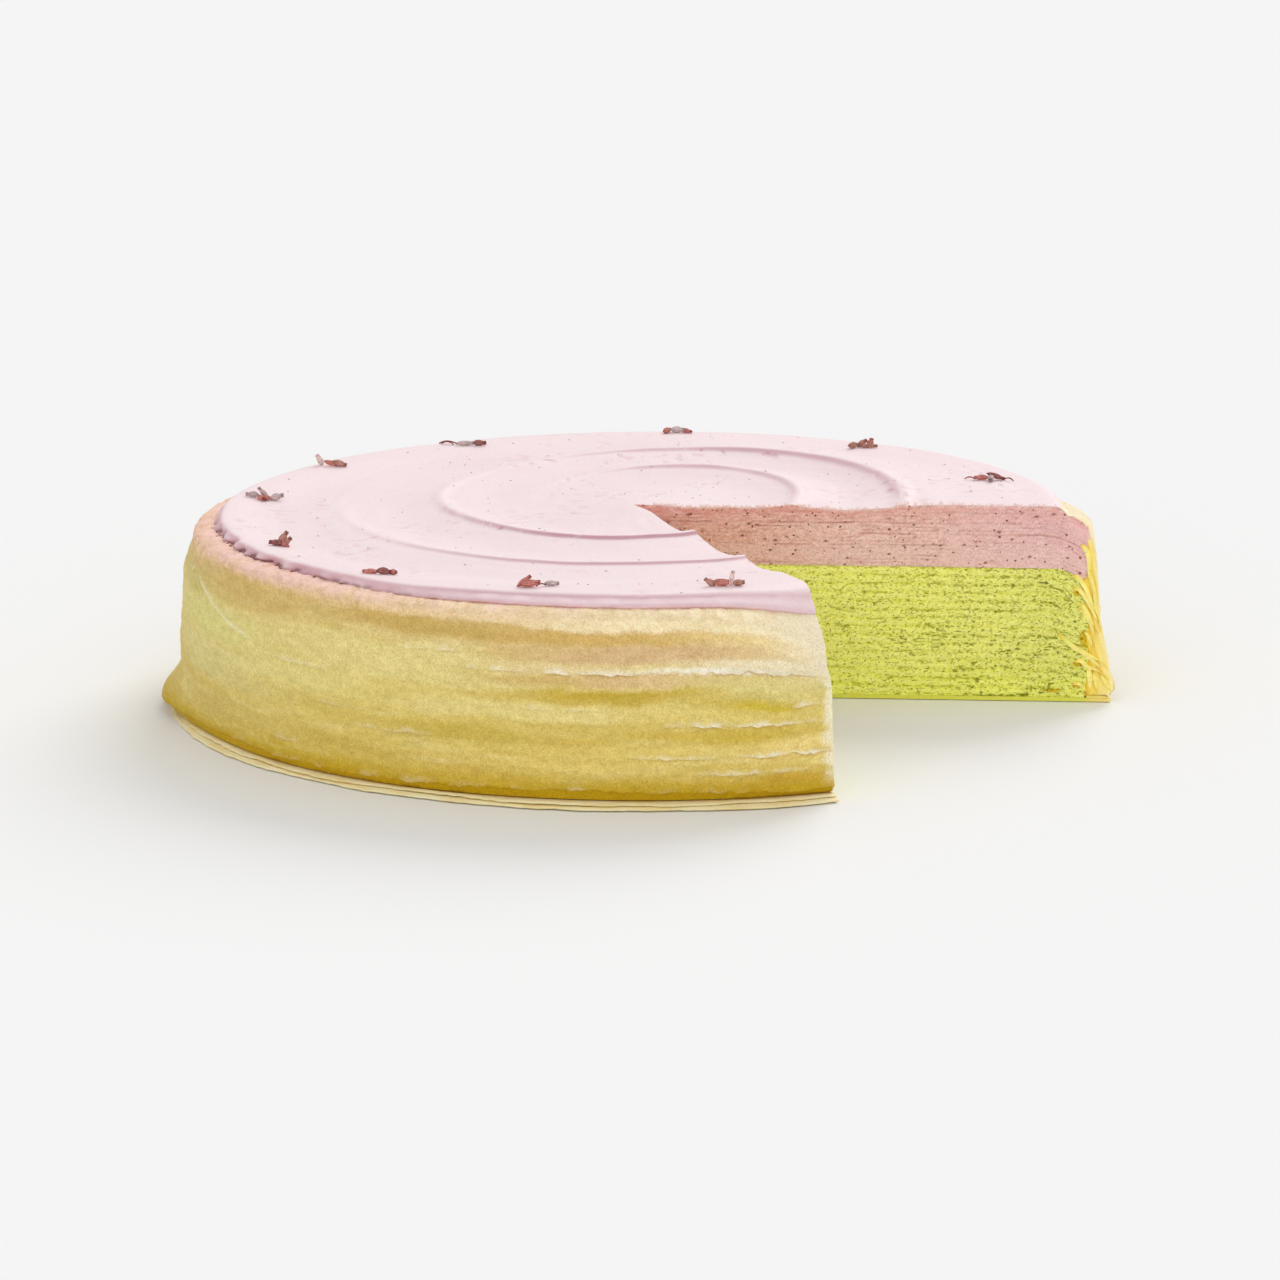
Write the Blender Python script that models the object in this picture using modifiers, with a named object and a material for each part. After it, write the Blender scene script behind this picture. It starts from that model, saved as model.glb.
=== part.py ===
"""A round crepe cake with one wedge cut away.

Thin crepes and cream in two colours stand on a wide base crepe. The outer crepes are draped
down over the side, and the top is spread with cream in a spatula swirl.
Metres, +Z up. The origin is on the cake's axis, at the level that it rests on.
"""
import math

import bmesh
import bpy
from mathutils import Matrix, Vector

MM = 0.001

# The wedge: its point is on the cake's axis, and its two faces leave it at these angles.
CUT_RIGHT = math.radians(-3.9)
CUT_LEFT = math.radians(292.5)
KEPT_ANGLE = CUT_LEFT - CUT_RIGHT
WEDGE_REACH = 200 * MM
CUT_Z_MARGIN = 10 * MM

# Stack heights
GAP = 0.3 * MM
BASE_THICKNESS = 0.9 * MM
GREEN_LEAVES = 15
GREEN_PITCH = 2.13 * MM
MAUVE_LEAVES = 4
MAUVE_PITCH = 2.4 * MM
GREEN_BOTTOM = BASE_THICKNESS + GAP
GREEN_TOP = GREEN_BOTTOM + GREEN_LEAVES * GREEN_PITCH
MAUVE_BOTTOM = GREEN_TOP + GAP
MAUVE_TOP = MAUVE_BOTTOM + MAUVE_LEAVES * MAUVE_PITCH
CREAM_BOTTOM = MAUVE_TOP + GAP

# Each joint between two leaves is a shallow groove along the cut faces.
GROOVE_DEPTH = 0.35 * MM
GROOVE_HALF_WIDTH = 0.35 * MM

# Radii
WALL_RADIUS = 112.6 * MM
GREEN_RADIUS = 109.4 * MM
MAUVE_RADIUS = 107.5 * MM
BASE_RADIUS = 116.5 * MM
CREAM_RADIUS = 104.3 * MM

# The outer crepes' shoulder, under the cream's rim
SHOULDER_TOP = 43.9 * MM
SHOULDER_LOW = 41.2 * MM

# The draped leaves end at these heights, each standing a little proud of the leaf under it.
LEAF_ENDS = [36 * MM, 30 * MM, 24 * MM, 18 * MM, 11.5 * MM, 6 * MM]
LEAF_PROUD = 0.6 * MM
LEAF_WAVE = 1.0 * MM
WALL_SWELL = 0.4 * MM

# One foot leaf flares out from the wall at the left.
FLAP_FLARE = 3.2 * MM
FLAP_ANGLE = math.radians(186)
FLAP_HALF_WIDTH = math.radians(14)
FLAP_HEIGHT = 9.0 * MM

# Beside the left cut the shoulder has slumped: high points near the rim sink and move in.
SLUMP_ANGLE = math.radians(17)
SLUMP_RADIUS = 95.0 * MM
SLUMP_SPAN = 13.5 * MM
SLUMP_DROP = 7.2 * MM
SLUMP_INWARD = 1.8 * MM
SLUMP_HEIGHTS = (24 * MM, 42 * MM)

# The swirl's ridge is a spiral that widens clockwise: its radius is START + turns * PITCH,
# and both vary round the cake.
SWIRL_START = 16.4 * MM
SWIRL_START_BACK = 16.8 * MM
SWIRL_START_RIGHT = 2.1 * MM
SWIRL_START_OVAL = -3.1 * MM
SWIRL_PITCH = 26.9 * MM
SWIRL_PITCH_BACK = -2.8 * MM
SWIRL_RIDGES = 3

# A ridge is a broad low swell with a narrow lip on it. The lip's front sides, which face -Y,
# are the steep ones near the front, and its back sides near the back.
SWELL_HEIGHT = 1.6 * MM
SWELL_WIDTH = 8.5 * MM
TROUGH_SHARE = 0.35
LIP_HEIGHT = 1.1 * MM
LIP_STEEP = 1.4 * MM
LIP_GENTLE = 4.0 * MM
WAVE_FREE_RADIUS = 12 * MM
FADE_ANGLE = math.radians(130)
FADE_WIDTH = math.radians(36)
FADE_DEPTH = 0.75

# The cream's level between the ridges, and where it rises to the rim
CREAM_LEVEL = 45.8 * MM
CREAM_TILT = 1.1 * MM
TILT_ANGLE = math.radians(45)
TILT_RADIUS = 25 * MM
MIDDLE_RISE = 1.9 * MM
MIDDLE_RADIUS = 18 * MM
RIM_RISE = 1.5 * MM
RIM_RISE_RADIUS = 82 * MM
RIM_RISE_SHIFT = 14 * MM
RIM_RISE_HALF_WIDTH = 9 * MM
CREAM_ROUND = 3.4 * MM
CREAM_UNDERCUT = 0.8 * MM

ROUND_STEPS = 64
CREAM_COLUMNS = 56
RING_SHARES = (0.07, 0.4, 0.85, 1.0)
MERGE = 0.01 * MM
SHARP_ANGLE = math.radians(40)

COLOURS = {
    "base_crepe": (0.80, 0.64, 0.30),
    "green_layers": (0.55, 0.66, 0.10),
    "mauve_layers": (0.72, 0.40, 0.34),
    "top_cream": (0.92, 0.76, 0.80),
    "outer_crepes": (0.74, 0.58, 0.16),
}
CREAM_ROUGHNESS = 0.45
CREPE_ROUGHNESS = 0.65


def clear_scene():
    for obj in list(bpy.data.objects):
        bpy.data.objects.remove(obj, do_unlink=True)


def new_collection(name):
    collection = bpy.data.collections.new(name)
    bpy.context.scene.collection.children.link(collection)
    return collection


def add_material(obj, roughness):
    material = bpy.data.materials.new(obj.name)
    material.use_nodes = True
    shader = material.node_tree.nodes["Principled BSDF"]
    shader.inputs["Base Color"].default_value = (*COLOURS[obj.name], 1.0)
    shader.inputs["Roughness"].default_value = roughness
    shader.inputs["Metallic"].default_value = 0.0
    obj.data.materials.append(material)


def turned(name, profile, collection, closed=False):
    """Turn a section of (radius, height) points round the axis; it runs down its outer side."""
    mesh = bpy.data.meshes.new(name)
    points = [(radius, 0.0, height) for radius, height in profile]
    edges = [(i, i + 1) for i in range(len(points) - 1)]
    if closed:
        edges.append((len(points) - 1, 0))
    mesh.from_pydata(points, edges, [])
    obj = bpy.data.objects.new(name, mesh)
    collection.objects.link(obj)
    screw = obj.modifiers.new("turn", "SCREW")
    screw.angle = math.tau
    screw.steps = ROUND_STEPS
    screw.render_steps = ROUND_STEPS
    screw.use_merge_vertices = True
    screw.merge_threshold = MERGE
    return obj


def apply_modifiers(obj):
    evaluated = obj.evaluated_get(bpy.context.evaluated_depsgraph_get())
    mesh = bpy.data.meshes.new_from_object(evaluated)
    obj.modifiers.clear()
    obj.data = mesh


def shade(obj):
    obj.data.shade_smooth()
    obj.data.set_sharp_from_angle(angle=SHARP_ANGLE)


def smoothstep(low, high, value):
    share = min(max((value - low) / (high - low), 0.0), 1.0)
    return share * share * (3.0 - 2.0 * share)


def mix(a, b, share):
    return a + (b - a) * share


def slumped(point):
    """The point after the shoulder beside the left cut has sunk."""
    radius = math.hypot(point.x, point.y)
    angle = math.atan2(point.y, point.x) % math.tau
    near = max(1.0 - abs(angle - CUT_LEFT) / SLUMP_ANGLE, 0.0) ** 2
    high = near * smoothstep(*SLUMP_HEIGHTS, point.z)
    out = min(max((radius - SLUMP_RADIUS) / SLUMP_SPAN, 0.0), 1.15)
    inward = SLUMP_INWARD * high * min(out * 1.5, 1.0)
    share = 1.0 - inward / max(radius, MM)
    return Vector((point.x * share, point.y * share, point.z - SLUMP_DROP * out ** 2 * high))


def slump(mesh):
    for vertex in mesh.vertices:
        vertex.co = slumped(vertex.co)


# --- the wedge that is cut away -------------------------------------------------------------

def leaf_joints():
    green = [GREEN_BOTTOM + i * GREEN_PITCH for i in range(1, GREEN_LEAVES)]
    mauve = [MAUVE_BOTTOM + i * MAUVE_PITCH for i in range(1, MAUVE_LEAVES)]
    return green + mauve


def wedge_ring(height, depth):
    """The wedge's outline at one height, its two faces set out by depth."""
    half_angle = (math.tau - KEPT_ANGLE) / 2
    middle = (CUT_LEFT + CUT_RIGHT + math.tau) / 2
    back = depth / math.sin(half_angle)
    point = Vector((-math.cos(middle) * back, -math.sin(middle) * back, height))
    ring = [point]
    for angle in (CUT_LEFT, CUT_RIGHT):
        ring.append(point + WEDGE_REACH * Vector((math.cos(angle), math.sin(angle), 0.0)))
    return ring


def make_wedge(name, joints, collection):
    """A wedge with a small rib at each leaf joint, lofted up through its outlines."""
    rings = [wedge_ring(-CUT_Z_MARGIN, 0.0)]
    for joint in joints:
        rings.append(wedge_ring(joint - GROOVE_HALF_WIDTH, 0.0))
        rings.append(wedge_ring(joint, GROOVE_DEPTH))
        rings.append(wedge_ring(joint + GROOVE_HALF_WIDTH, 0.0))
    rings.append(wedge_ring(CREAM_BOTTOM + CUT_Z_MARGIN, 0.0))
    bm = bmesh.new()
    loops = [[bm.verts.new(point) for point in ring] for ring in rings]
    for low, high in zip(loops, loops[1:]):
        for i in range(len(low)):
            j = (i + 1) % len(low)
            bm.faces.new((low[i], low[j], high[j], high[i]))
    bm.faces.new(reversed(loops[0]))
    bm.faces.new(loops[-1])
    bmesh.ops.recalc_face_normals(bm, faces=bm.faces)
    mesh = bpy.data.meshes.new(name)
    bm.to_mesh(mesh)
    bm.free()
    wedge = bpy.data.objects.new(name, mesh)
    wedge.hide_render = True
    wedge.display_type = "WIRE"
    collection.objects.link(wedge)
    return wedge


def cut(obj, cutter):
    boolean = obj.modifiers.new("cut", "BOOLEAN")
    boolean.operation = "DIFFERENCE"
    boolean.solver = "EXACT"
    boolean.object = cutter


# --- base crepe and the two stacks ------------------------------------------------------------

def base_edge_wave(angle):
    """How far the base crepe's edge reaches in or out; equal on the four axes."""
    return 0.5 * MM * math.cos(4 * angle) + 0.4 * MM * math.cos(12 * angle)


def make_base_crepe(collection):
    top = BASE_THICKNESS
    profile = [
        (0.0, top),
        (WALL_RADIUS, top),
        (BASE_RADIUS - 1.0 * MM, 0.8 * top),
        (BASE_RADIUS, 0.4 * top),
        (BASE_RADIUS - 0.4 * MM, 0.0),
        (0.0, 0.0),
    ]
    obj = turned("base_crepe", profile, collection)
    apply_modifiers(obj)
    for vertex in obj.data.vertices:
        radius = math.hypot(vertex.co.x, vertex.co.y)
        if radius < WALL_RADIUS + 1.0 * MM:
            continue
        wave = base_edge_wave(math.atan2(vertex.co.y, vertex.co.x))
        share = (radius + wave) / radius
        vertex.co.x *= share
        vertex.co.y *= share
    return obj


def make_green_layers(collection):
    """The lower stack: its shoulder rounds over where the upper crepes drape down."""
    shoulder = GREEN_RADIUS - 8.1 * MM
    profile = [
        (0.0, GREEN_TOP),
        (shoulder, GREEN_TOP),
        (shoulder + 2.0 * MM, GREEN_TOP - 1.0 * MM),
        (shoulder + 3.3 * MM, GREEN_TOP - 2.5 * MM),
        (shoulder + 4.9 * MM, GREEN_TOP - 5.2 * MM),
        (GREEN_RADIUS - 0.8 * MM, 18.0 * MM),
        (GREEN_RADIUS, 10.5 * MM),
        (GREEN_RADIUS - 0.3 * MM, 2.9 * MM),
        (GREEN_RADIUS - 0.8 * MM, GREEN_BOTTOM),
        (0.0, GREEN_BOTTOM),
    ]
    obj = turned("green_layers", profile, collection)
    apply_modifiers(obj)
    slump(obj.data)
    return obj


def make_mauve_layers(collection):
    """The upper stack: its rim droops over the lower stack's shoulder."""
    shoulder = GREEN_RADIUS - 8.1 * MM
    profile = [
        (0.0, MAUVE_TOP),
        (MAUVE_RADIUS - 4.3 * MM, MAUVE_TOP),
        (MAUVE_RADIUS - 1.9 * MM, MAUVE_TOP - 1.1 * MM),
        (MAUVE_RADIUS - 0.5 * MM, MAUVE_TOP - 3.3 * MM),
        (MAUVE_RADIUS, MAUVE_TOP - 5.8 * MM),
        (MAUVE_RADIUS - 0.2 * MM, MAUVE_TOP - 9.3 * MM),
        (MAUVE_RADIUS - 0.7 * MM, MAUVE_BOTTOM - 2.9 * MM),
        (shoulder + 3.8 * MM, MAUVE_BOTTOM - 2.6 * MM),
        (shoulder + 2.3 * MM, MAUVE_BOTTOM - 1.0 * MM),
        (shoulder + 0.1 * MM, MAUVE_BOTTOM),
        (0.0, MAUVE_BOTTOM),
    ]
    obj = turned("mauve_layers", profile, collection)
    apply_modifiers(obj)
    slump(obj.data)
    return obj


# --- outer crepes -------------------------------------------------------------------------------

def wall_radius(height):
    """The side without its leaf ends: a flared foot, nearly upright, then a round shoulder."""
    foot = 1.0 * MM * (1.0 - smoothstep(2.0 * MM, 9.0 * MM, height))
    lean = 1.4 * MM * smoothstep(8.0 * MM, 36.0 * MM, height)
    shoulder = 1.7 * MM * smoothstep(33.0 * MM, 44.0 * MM, height)
    return WALL_RADIUS + foot - lean - shoulder


def leaf_profile():
    """Down the outside: each leaf thickens to its end, and the next starts behind it."""
    points = []
    top = SHOULDER_LOW
    for end in LEAF_ENDS:
        points.append((wall_radius(top), top))
        points.append((wall_radius(end) + LEAF_PROUD, end + 0.4 * MM))
        top = end - 0.2 * MM
    return points


def make_outer_crepes(collection):
    lip = CREAM_RADIUS + 0.6 * MM
    foot = GREEN_BOTTOM
    outside = [
        (lip, SHOULDER_TOP),
        (lip + 2.9 * MM, SHOULDER_TOP - 0.2 * MM),
        (lip + 4.3 * MM, SHOULDER_TOP - 1.0 * MM),
    ]
    outside += leaf_profile()
    outside += [
        (wall_radius(4.0 * MM), 4.0 * MM),
        (wall_radius(foot), foot),
    ]
    inside = [
        (GREEN_RADIUS - 0.3 * MM, foot),
        (GREEN_RADIUS + 0.1 * MM, 2.9 * MM),
        (GREEN_RADIUS + 0.4 * MM, 10.5 * MM),
        (GREEN_RADIUS - 0.4 * MM, 18.0 * MM),
        (GREEN_RADIUS - 2.8 * MM, GREEN_TOP - 5.0 * MM),
        (MAUVE_RADIUS - 0.3 * MM, MAUVE_BOTTOM - 3.3 * MM),
        (MAUVE_RADIUS + 0.2 * MM, MAUVE_TOP - 9.3 * MM),
        (MAUVE_RADIUS + 0.4 * MM, MAUVE_TOP - 5.8 * MM),
        (MAUVE_RADIUS - 0.1 * MM, MAUVE_TOP - 3.2 * MM),
        (MAUVE_RADIUS - 1.6 * MM, MAUVE_TOP - 0.7 * MM),
        (lip, MAUVE_TOP - 0.2 * MM),
    ]
    obj = turned("outer_crepes", outside + inside, collection, closed=True)
    apply_modifiers(obj)
    wave_leaf_ends(obj.data)
    slump(obj.data)
    return obj


def flap_flare(angle, height):
    """How far the foot flap stands out from the wall."""
    away = (angle % math.tau - FLAP_ANGLE) / FLAP_HALF_WIDTH
    return FLAP_FLARE * math.exp(-away ** 2) * (1.0 - smoothstep(0.0, FLAP_HEIGHT, height))


def wave_leaf_ends(mesh):
    """Each leaf end rises and falls round the cake, the wall swells a little, and the flap flares."""
    for vertex in mesh.vertices:
        radius = math.hypot(vertex.co.x, vertex.co.y)
        height = vertex.co.z
        if radius < wall_radius(height) - 0.1 * MM or height > SHOULDER_LOW - 1.0 * MM:
            continue
        angle = math.atan2(vertex.co.y, vertex.co.x)
        leaf = min(range(len(LEAF_ENDS)), key=lambda i: abs(LEAF_ENDS[i] - height))
        rise = math.sin(3 * angle + 1.7 * leaf) + 0.6 * math.sin(7 * angle + 2.9 * leaf)
        swell = math.sin(2 * angle + 0.8) + 0.5 * math.sin(5 * angle + 1.3 * leaf)
        share = (radius + 0.6 * WALL_SWELL * swell + flap_flare(angle, height)) / radius
        vertex.co.x *= share
        vertex.co.y *= share
        if height > 3.0 * MM:
            vertex.co.z += 0.6 * LEAF_WAVE * rise


# --- top cream ----------------------------------------------------------------------------------

def swirl_radius(turns, angle):
    start = (SWIRL_START + SWIRL_START_BACK * math.sin(angle)
             + SWIRL_START_RIGHT * math.cos(angle) + SWIRL_START_OVAL * math.cos(2 * angle))
    pitch = SWIRL_PITCH + SWIRL_PITCH_BACK * math.sin(angle)
    return start + pitch * turns


def ridge_radii(angle):
    """Where the spiral ridge crosses the ray at this angle, from the inside out."""
    first = (CUT_LEFT - angle) / math.tau
    limit = CREAM_RADIUS - 3 * CREAM_ROUND
    return [min(swirl_radius(first + turn, angle), limit) for turn in range(SWIRL_RIDGES)]


def ridge_strength(turn, angle):
    """Ridges fade at the back left, and the inmost one also before it reaches the middle."""
    fade = 1.0 - FADE_DEPTH * math.exp(-((angle - FADE_ANGLE) / FADE_WIDTH) ** 2)
    if turn == 0:
        return fade * (1.0 - smoothstep(math.radians(70), math.radians(170), angle))
    if turn == 2:
        return fade * 0.8 * smoothstep(math.radians(120), math.radians(260), angle)
    return fade


def cream_height(radius, angle):
    front = (1.0 - math.sin(angle)) / 2
    outer_width = mix(LIP_GENTLE * 0.8, LIP_STEEP, front)
    inner_width = mix(LIP_STEEP * 2.2, LIP_GENTLE, front)
    swell = 0.0
    lip = 0.0
    for turn, ridge in enumerate(ridge_radii(angle)):
        strength = ridge_strength(turn, angle)
        away = radius - ridge
        width = outer_width if away > 0 else inner_width
        swell = max(swell, strength * math.exp(-(away / SWELL_WIDTH) ** 2))
        lip = max(lip, strength * math.exp(-(away / width) ** 2))
    middle = RIM_RISE_RADIUS - RIM_RISE_SHIFT * math.cos(angle)
    rise = smoothstep(middle - RIM_RISE_HALF_WIDTH, middle + RIM_RISE_HALF_WIDTH, radius)
    tilt = CREAM_TILT * math.cos(angle - TILT_ANGLE) * min(radius / TILT_RADIUS, 1.0)
    dome = MIDDLE_RISE * math.exp(-(radius / MIDDLE_RADIUS) ** 2)
    trough = TROUGH_SHARE * front * (1.0 - rise)
    wave = SWELL_HEIGHT * (swell - trough) + LIP_HEIGHT * lip
    wave *= smoothstep(0.0, WAVE_FREE_RADIUS, radius)
    return CREAM_LEVEL + RIM_RISE * rise + tilt + dome + wave


def cream_section(angle):
    """Points (radius, height) from the axis out over the ridges and down the round edge."""
    edge = CREAM_RADIUS - CREAM_ROUND
    stations = [0.0]
    for ridge in ridge_radii(angle) + [edge]:
        start = stations[-1]
        stations += [mix(start, ridge, share) for share in RING_SHARES]
    points = [(radius, cream_height(radius, angle)) for radius in stations]
    top = points[-1][1]
    depth = top - CREAM_BOTTOM - CREAM_UNDERCUT
    for turn in (30, 60, 90):
        bend = math.radians(turn)
        points.append((edge + CREAM_ROUND * math.sin(bend), top - depth * (1 - math.cos(bend))))
    return points


def make_top_cream(collection):
    """Sections lofted round the kept angle, with a flat underside and a flat face at each cut."""
    bm = bmesh.new()
    columns = []
    for column in range(CREAM_COLUMNS + 1):
        angle = CUT_RIGHT + KEPT_ANGLE * column / CREAM_COLUMNS
        turn = Matrix.Rotation(angle, 3, "Z")
        section = cream_section(angle)
        section += [(CREAM_RADIUS - CREAM_UNDERCUT, CREAM_BOTTOM), (0.0, CREAM_BOTTOM)]
        points = [turn @ Vector((r, 0.0, z)) for r, z in section]
        columns.append([bm.verts.new(slumped(point)) for point in points])
    for near, far in zip(columns, columns[1:]):
        for i in range(len(near) - 1):
            bm.faces.new((near[i], near[i + 1], far[i + 1], far[i]))
    bm.faces.new(columns[0])
    bm.faces.new(columns[-1])
    bmesh.ops.remove_doubles(bm, verts=bm.verts, dist=MERGE)
    bmesh.ops.recalc_face_normals(bm, faces=bm.faces)
    mesh = bpy.data.meshes.new("top_cream")
    bm.to_mesh(mesh)
    bm.free()
    obj = bpy.data.objects.new("top_cream", mesh)
    collection.objects.link(obj)
    return obj


def main():
    clear_scene()
    cake = new_collection("crepe_cake")
    cutters = new_collection("cutters")
    wedge = make_wedge("wedge", leaf_joints(), cutters)
    turned_parts = [
        make_base_crepe(cake),
        make_green_layers(cake),
        make_mauve_layers(cake),
        make_outer_crepes(cake),
    ]
    for obj in turned_parts:
        add_material(obj, CREPE_ROUGHNESS)
        shade(obj)
        cut(obj, wedge)
    cream = make_top_cream(cake)
    add_material(cream, CREAM_ROUGHNESS)
    shade(cream)


main()
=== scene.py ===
"""The looks of the crepe cake: cream, cut stacks, draped crepes, foot leaves and flower buds.

Lengths are millimetres in the row frame until a mesh is made from them.
"""

import itertools
import math

import bmesh
import bpy
import numpy as np
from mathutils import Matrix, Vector


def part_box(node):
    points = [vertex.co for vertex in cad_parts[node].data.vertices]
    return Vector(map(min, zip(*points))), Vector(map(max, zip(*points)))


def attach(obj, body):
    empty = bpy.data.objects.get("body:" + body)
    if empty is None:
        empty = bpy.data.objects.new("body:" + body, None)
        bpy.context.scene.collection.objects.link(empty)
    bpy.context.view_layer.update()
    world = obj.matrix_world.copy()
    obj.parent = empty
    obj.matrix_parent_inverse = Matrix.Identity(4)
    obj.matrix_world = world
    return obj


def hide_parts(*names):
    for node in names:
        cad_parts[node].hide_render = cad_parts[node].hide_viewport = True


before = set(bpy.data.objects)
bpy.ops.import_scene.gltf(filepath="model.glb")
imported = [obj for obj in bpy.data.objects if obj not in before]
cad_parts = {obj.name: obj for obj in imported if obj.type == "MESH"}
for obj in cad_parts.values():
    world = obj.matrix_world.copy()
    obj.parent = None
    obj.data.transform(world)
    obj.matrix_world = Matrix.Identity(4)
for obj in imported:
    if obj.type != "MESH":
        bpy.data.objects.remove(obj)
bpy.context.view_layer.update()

MM = 0.001

# --- sizes, from the frame ---------------------------------------------------------------------


def box_mm(node):
    low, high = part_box(node)
    return np.array(low) / MM, np.array(high) / MM


GREEN_LOW, GREEN_HIGH = box_mm("green_layers")
CREAM_LOW, CREAM_HIGH = box_mm("top_cream")
BASE_LOW, BASE_HIGH = box_mm("base_crepe")
GREEN_BOTTOM = GREEN_LOW[2]
GREEN_TOP = GREEN_HIGH[2]
MAUVE_TOP = box_mm("mauve_layers")[1][2]
CREAM_BOTTOM = CREAM_LOW[2]
CREAM_RADIUS = CREAM_HIGH[1]
BASE_RADIUS = BASE_HIGH[1]
SEAM = 0.03

CUT_RIGHT = math.radians(-3.9)
CUT_LEFT = math.radians(292.5)
WEDGE_MIDDLE = (CUT_LEFT - math.tau + CUT_RIGHT) / 2
GREEN_LEAVES = 15
MAUVE_LEAVES = 4
GREEN_PITCH = (GREEN_TOP - GREEN_BOTTOM) / GREEN_LEAVES
MAUVE_PITCH = 2.7
WALL_RADIUS = 112.6
LEFT_MIDDLE = math.radians(207)
LEFT_HALF_WIDTH = math.radians(30)
RIGHT_HALF_WIDTH = math.radians(11)

# --- small helpers -----------------------------------------------------------------------------


def mix(a, b, share):
    return a + (b - a) * share


def smoothstep(low, high, value):
    share = np.clip((value - low) / (high - low), 0.0, 1.0)
    return share * share * (3.0 - 2.0 * share)


def bell(value, middle, half_width):
    return np.exp(-((value - middle) / half_width) ** 2)


def kept_angle(x, y):
    """The angle round the axis, without a jump inside the cake."""
    angle = np.arctan2(y, x)
    return np.where(angle < WEDGE_MIDDLE, angle + math.tau, angle)


def linear(colour):
    """An sRGB colour of 0 to 255 as linear 0 to 1."""
    share = np.asarray(colour, float) / 255.0
    return np.where(share <= 0.04045, share / 12.92, ((share + 0.055) / 1.055) ** 2.4)


def blend(base, colour, share):
    """Mix arrays of linear colours with one sRGB colour."""
    return mix(base, linear(colour), np.asarray(share)[..., None])


def lattice(ix, iy, iz, seed):
    mixed = (ix * 73856093) ^ (iy * 19349663) ^ (iz * 83492791) ^ (seed * 49979687)
    mixed = (mixed ^ (mixed >> 13)) & 0xFFFFFFFF
    mixed = (mixed * 1274126177) & 0xFFFFFFFF
    mixed = ((mixed ^ (mixed >> 15)) * 668265263) & 0xFFFFFFFF
    return ((mixed >> 8) & 0xFFFF) / 32767.5 - 1.0


def noise(x, y, z=0.0, seed=0):
    """Smooth noise from -1 to 1, with features about one unit across."""
    values = np.broadcast_arrays(np.asarray(x, float), y, z)
    cells = [np.floor(value).astype(np.int64) for value in values]
    parts = [value - cell for value, cell in zip(values, cells)]
    fades = [part * part * (3.0 - 2.0 * part) for part in parts]
    total = np.zeros(values[0].shape)
    for corner in itertools.product((0, 1), repeat=3):
        weight = 1.0
        for fade, side in zip(fades, corner):
            weight = weight * (fade if side else 1.0 - fade)
        total += weight * lattice(*(cell + side for cell, side in zip(cells, corner)), seed)
    return total


def rough(x, y, z=0.0, seed=0, octaves=3):
    total = 0.0
    for octave in range(octaves):
        scale = 2.03 ** octave
        total = total + noise(x * scale, y * scale, z * scale, seed + octave) / 1.8 ** octave
    return total / 1.6


def specks(x, y, cell, chance, smallest, largest, seed):
    """A mask of small spots, at most one in each square cell."""
    column = np.floor(x / cell).astype(np.int64)
    row = np.floor(y / cell).astype(np.int64)
    mask = np.zeros(np.broadcast(x, y).shape)
    for dx, dy in itertools.product((-1, 0, 1), repeat=2):
        i = column + dx
        j = row + dy
        zero = np.zeros_like(i)
        spot_x = (i + 0.5 + 0.4 * lattice(i, j, zero, seed)) * cell
        spot_y = (j + 0.5 + 0.4 * lattice(i, j, zero + 1, seed)) * cell
        size = mix(smallest, largest, (lattice(i, j, zero + 2, seed) + 1) / 2)
        there = (lattice(i, j, zero + 3, seed) + 1) / 2 < chance
        away = np.hypot(x - spot_x, (y - spot_y) * 1.3) / size
        mask = np.maximum(mask, there * (1.0 - smoothstep(0.6, 1.3, away)))
    return mask


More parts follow.
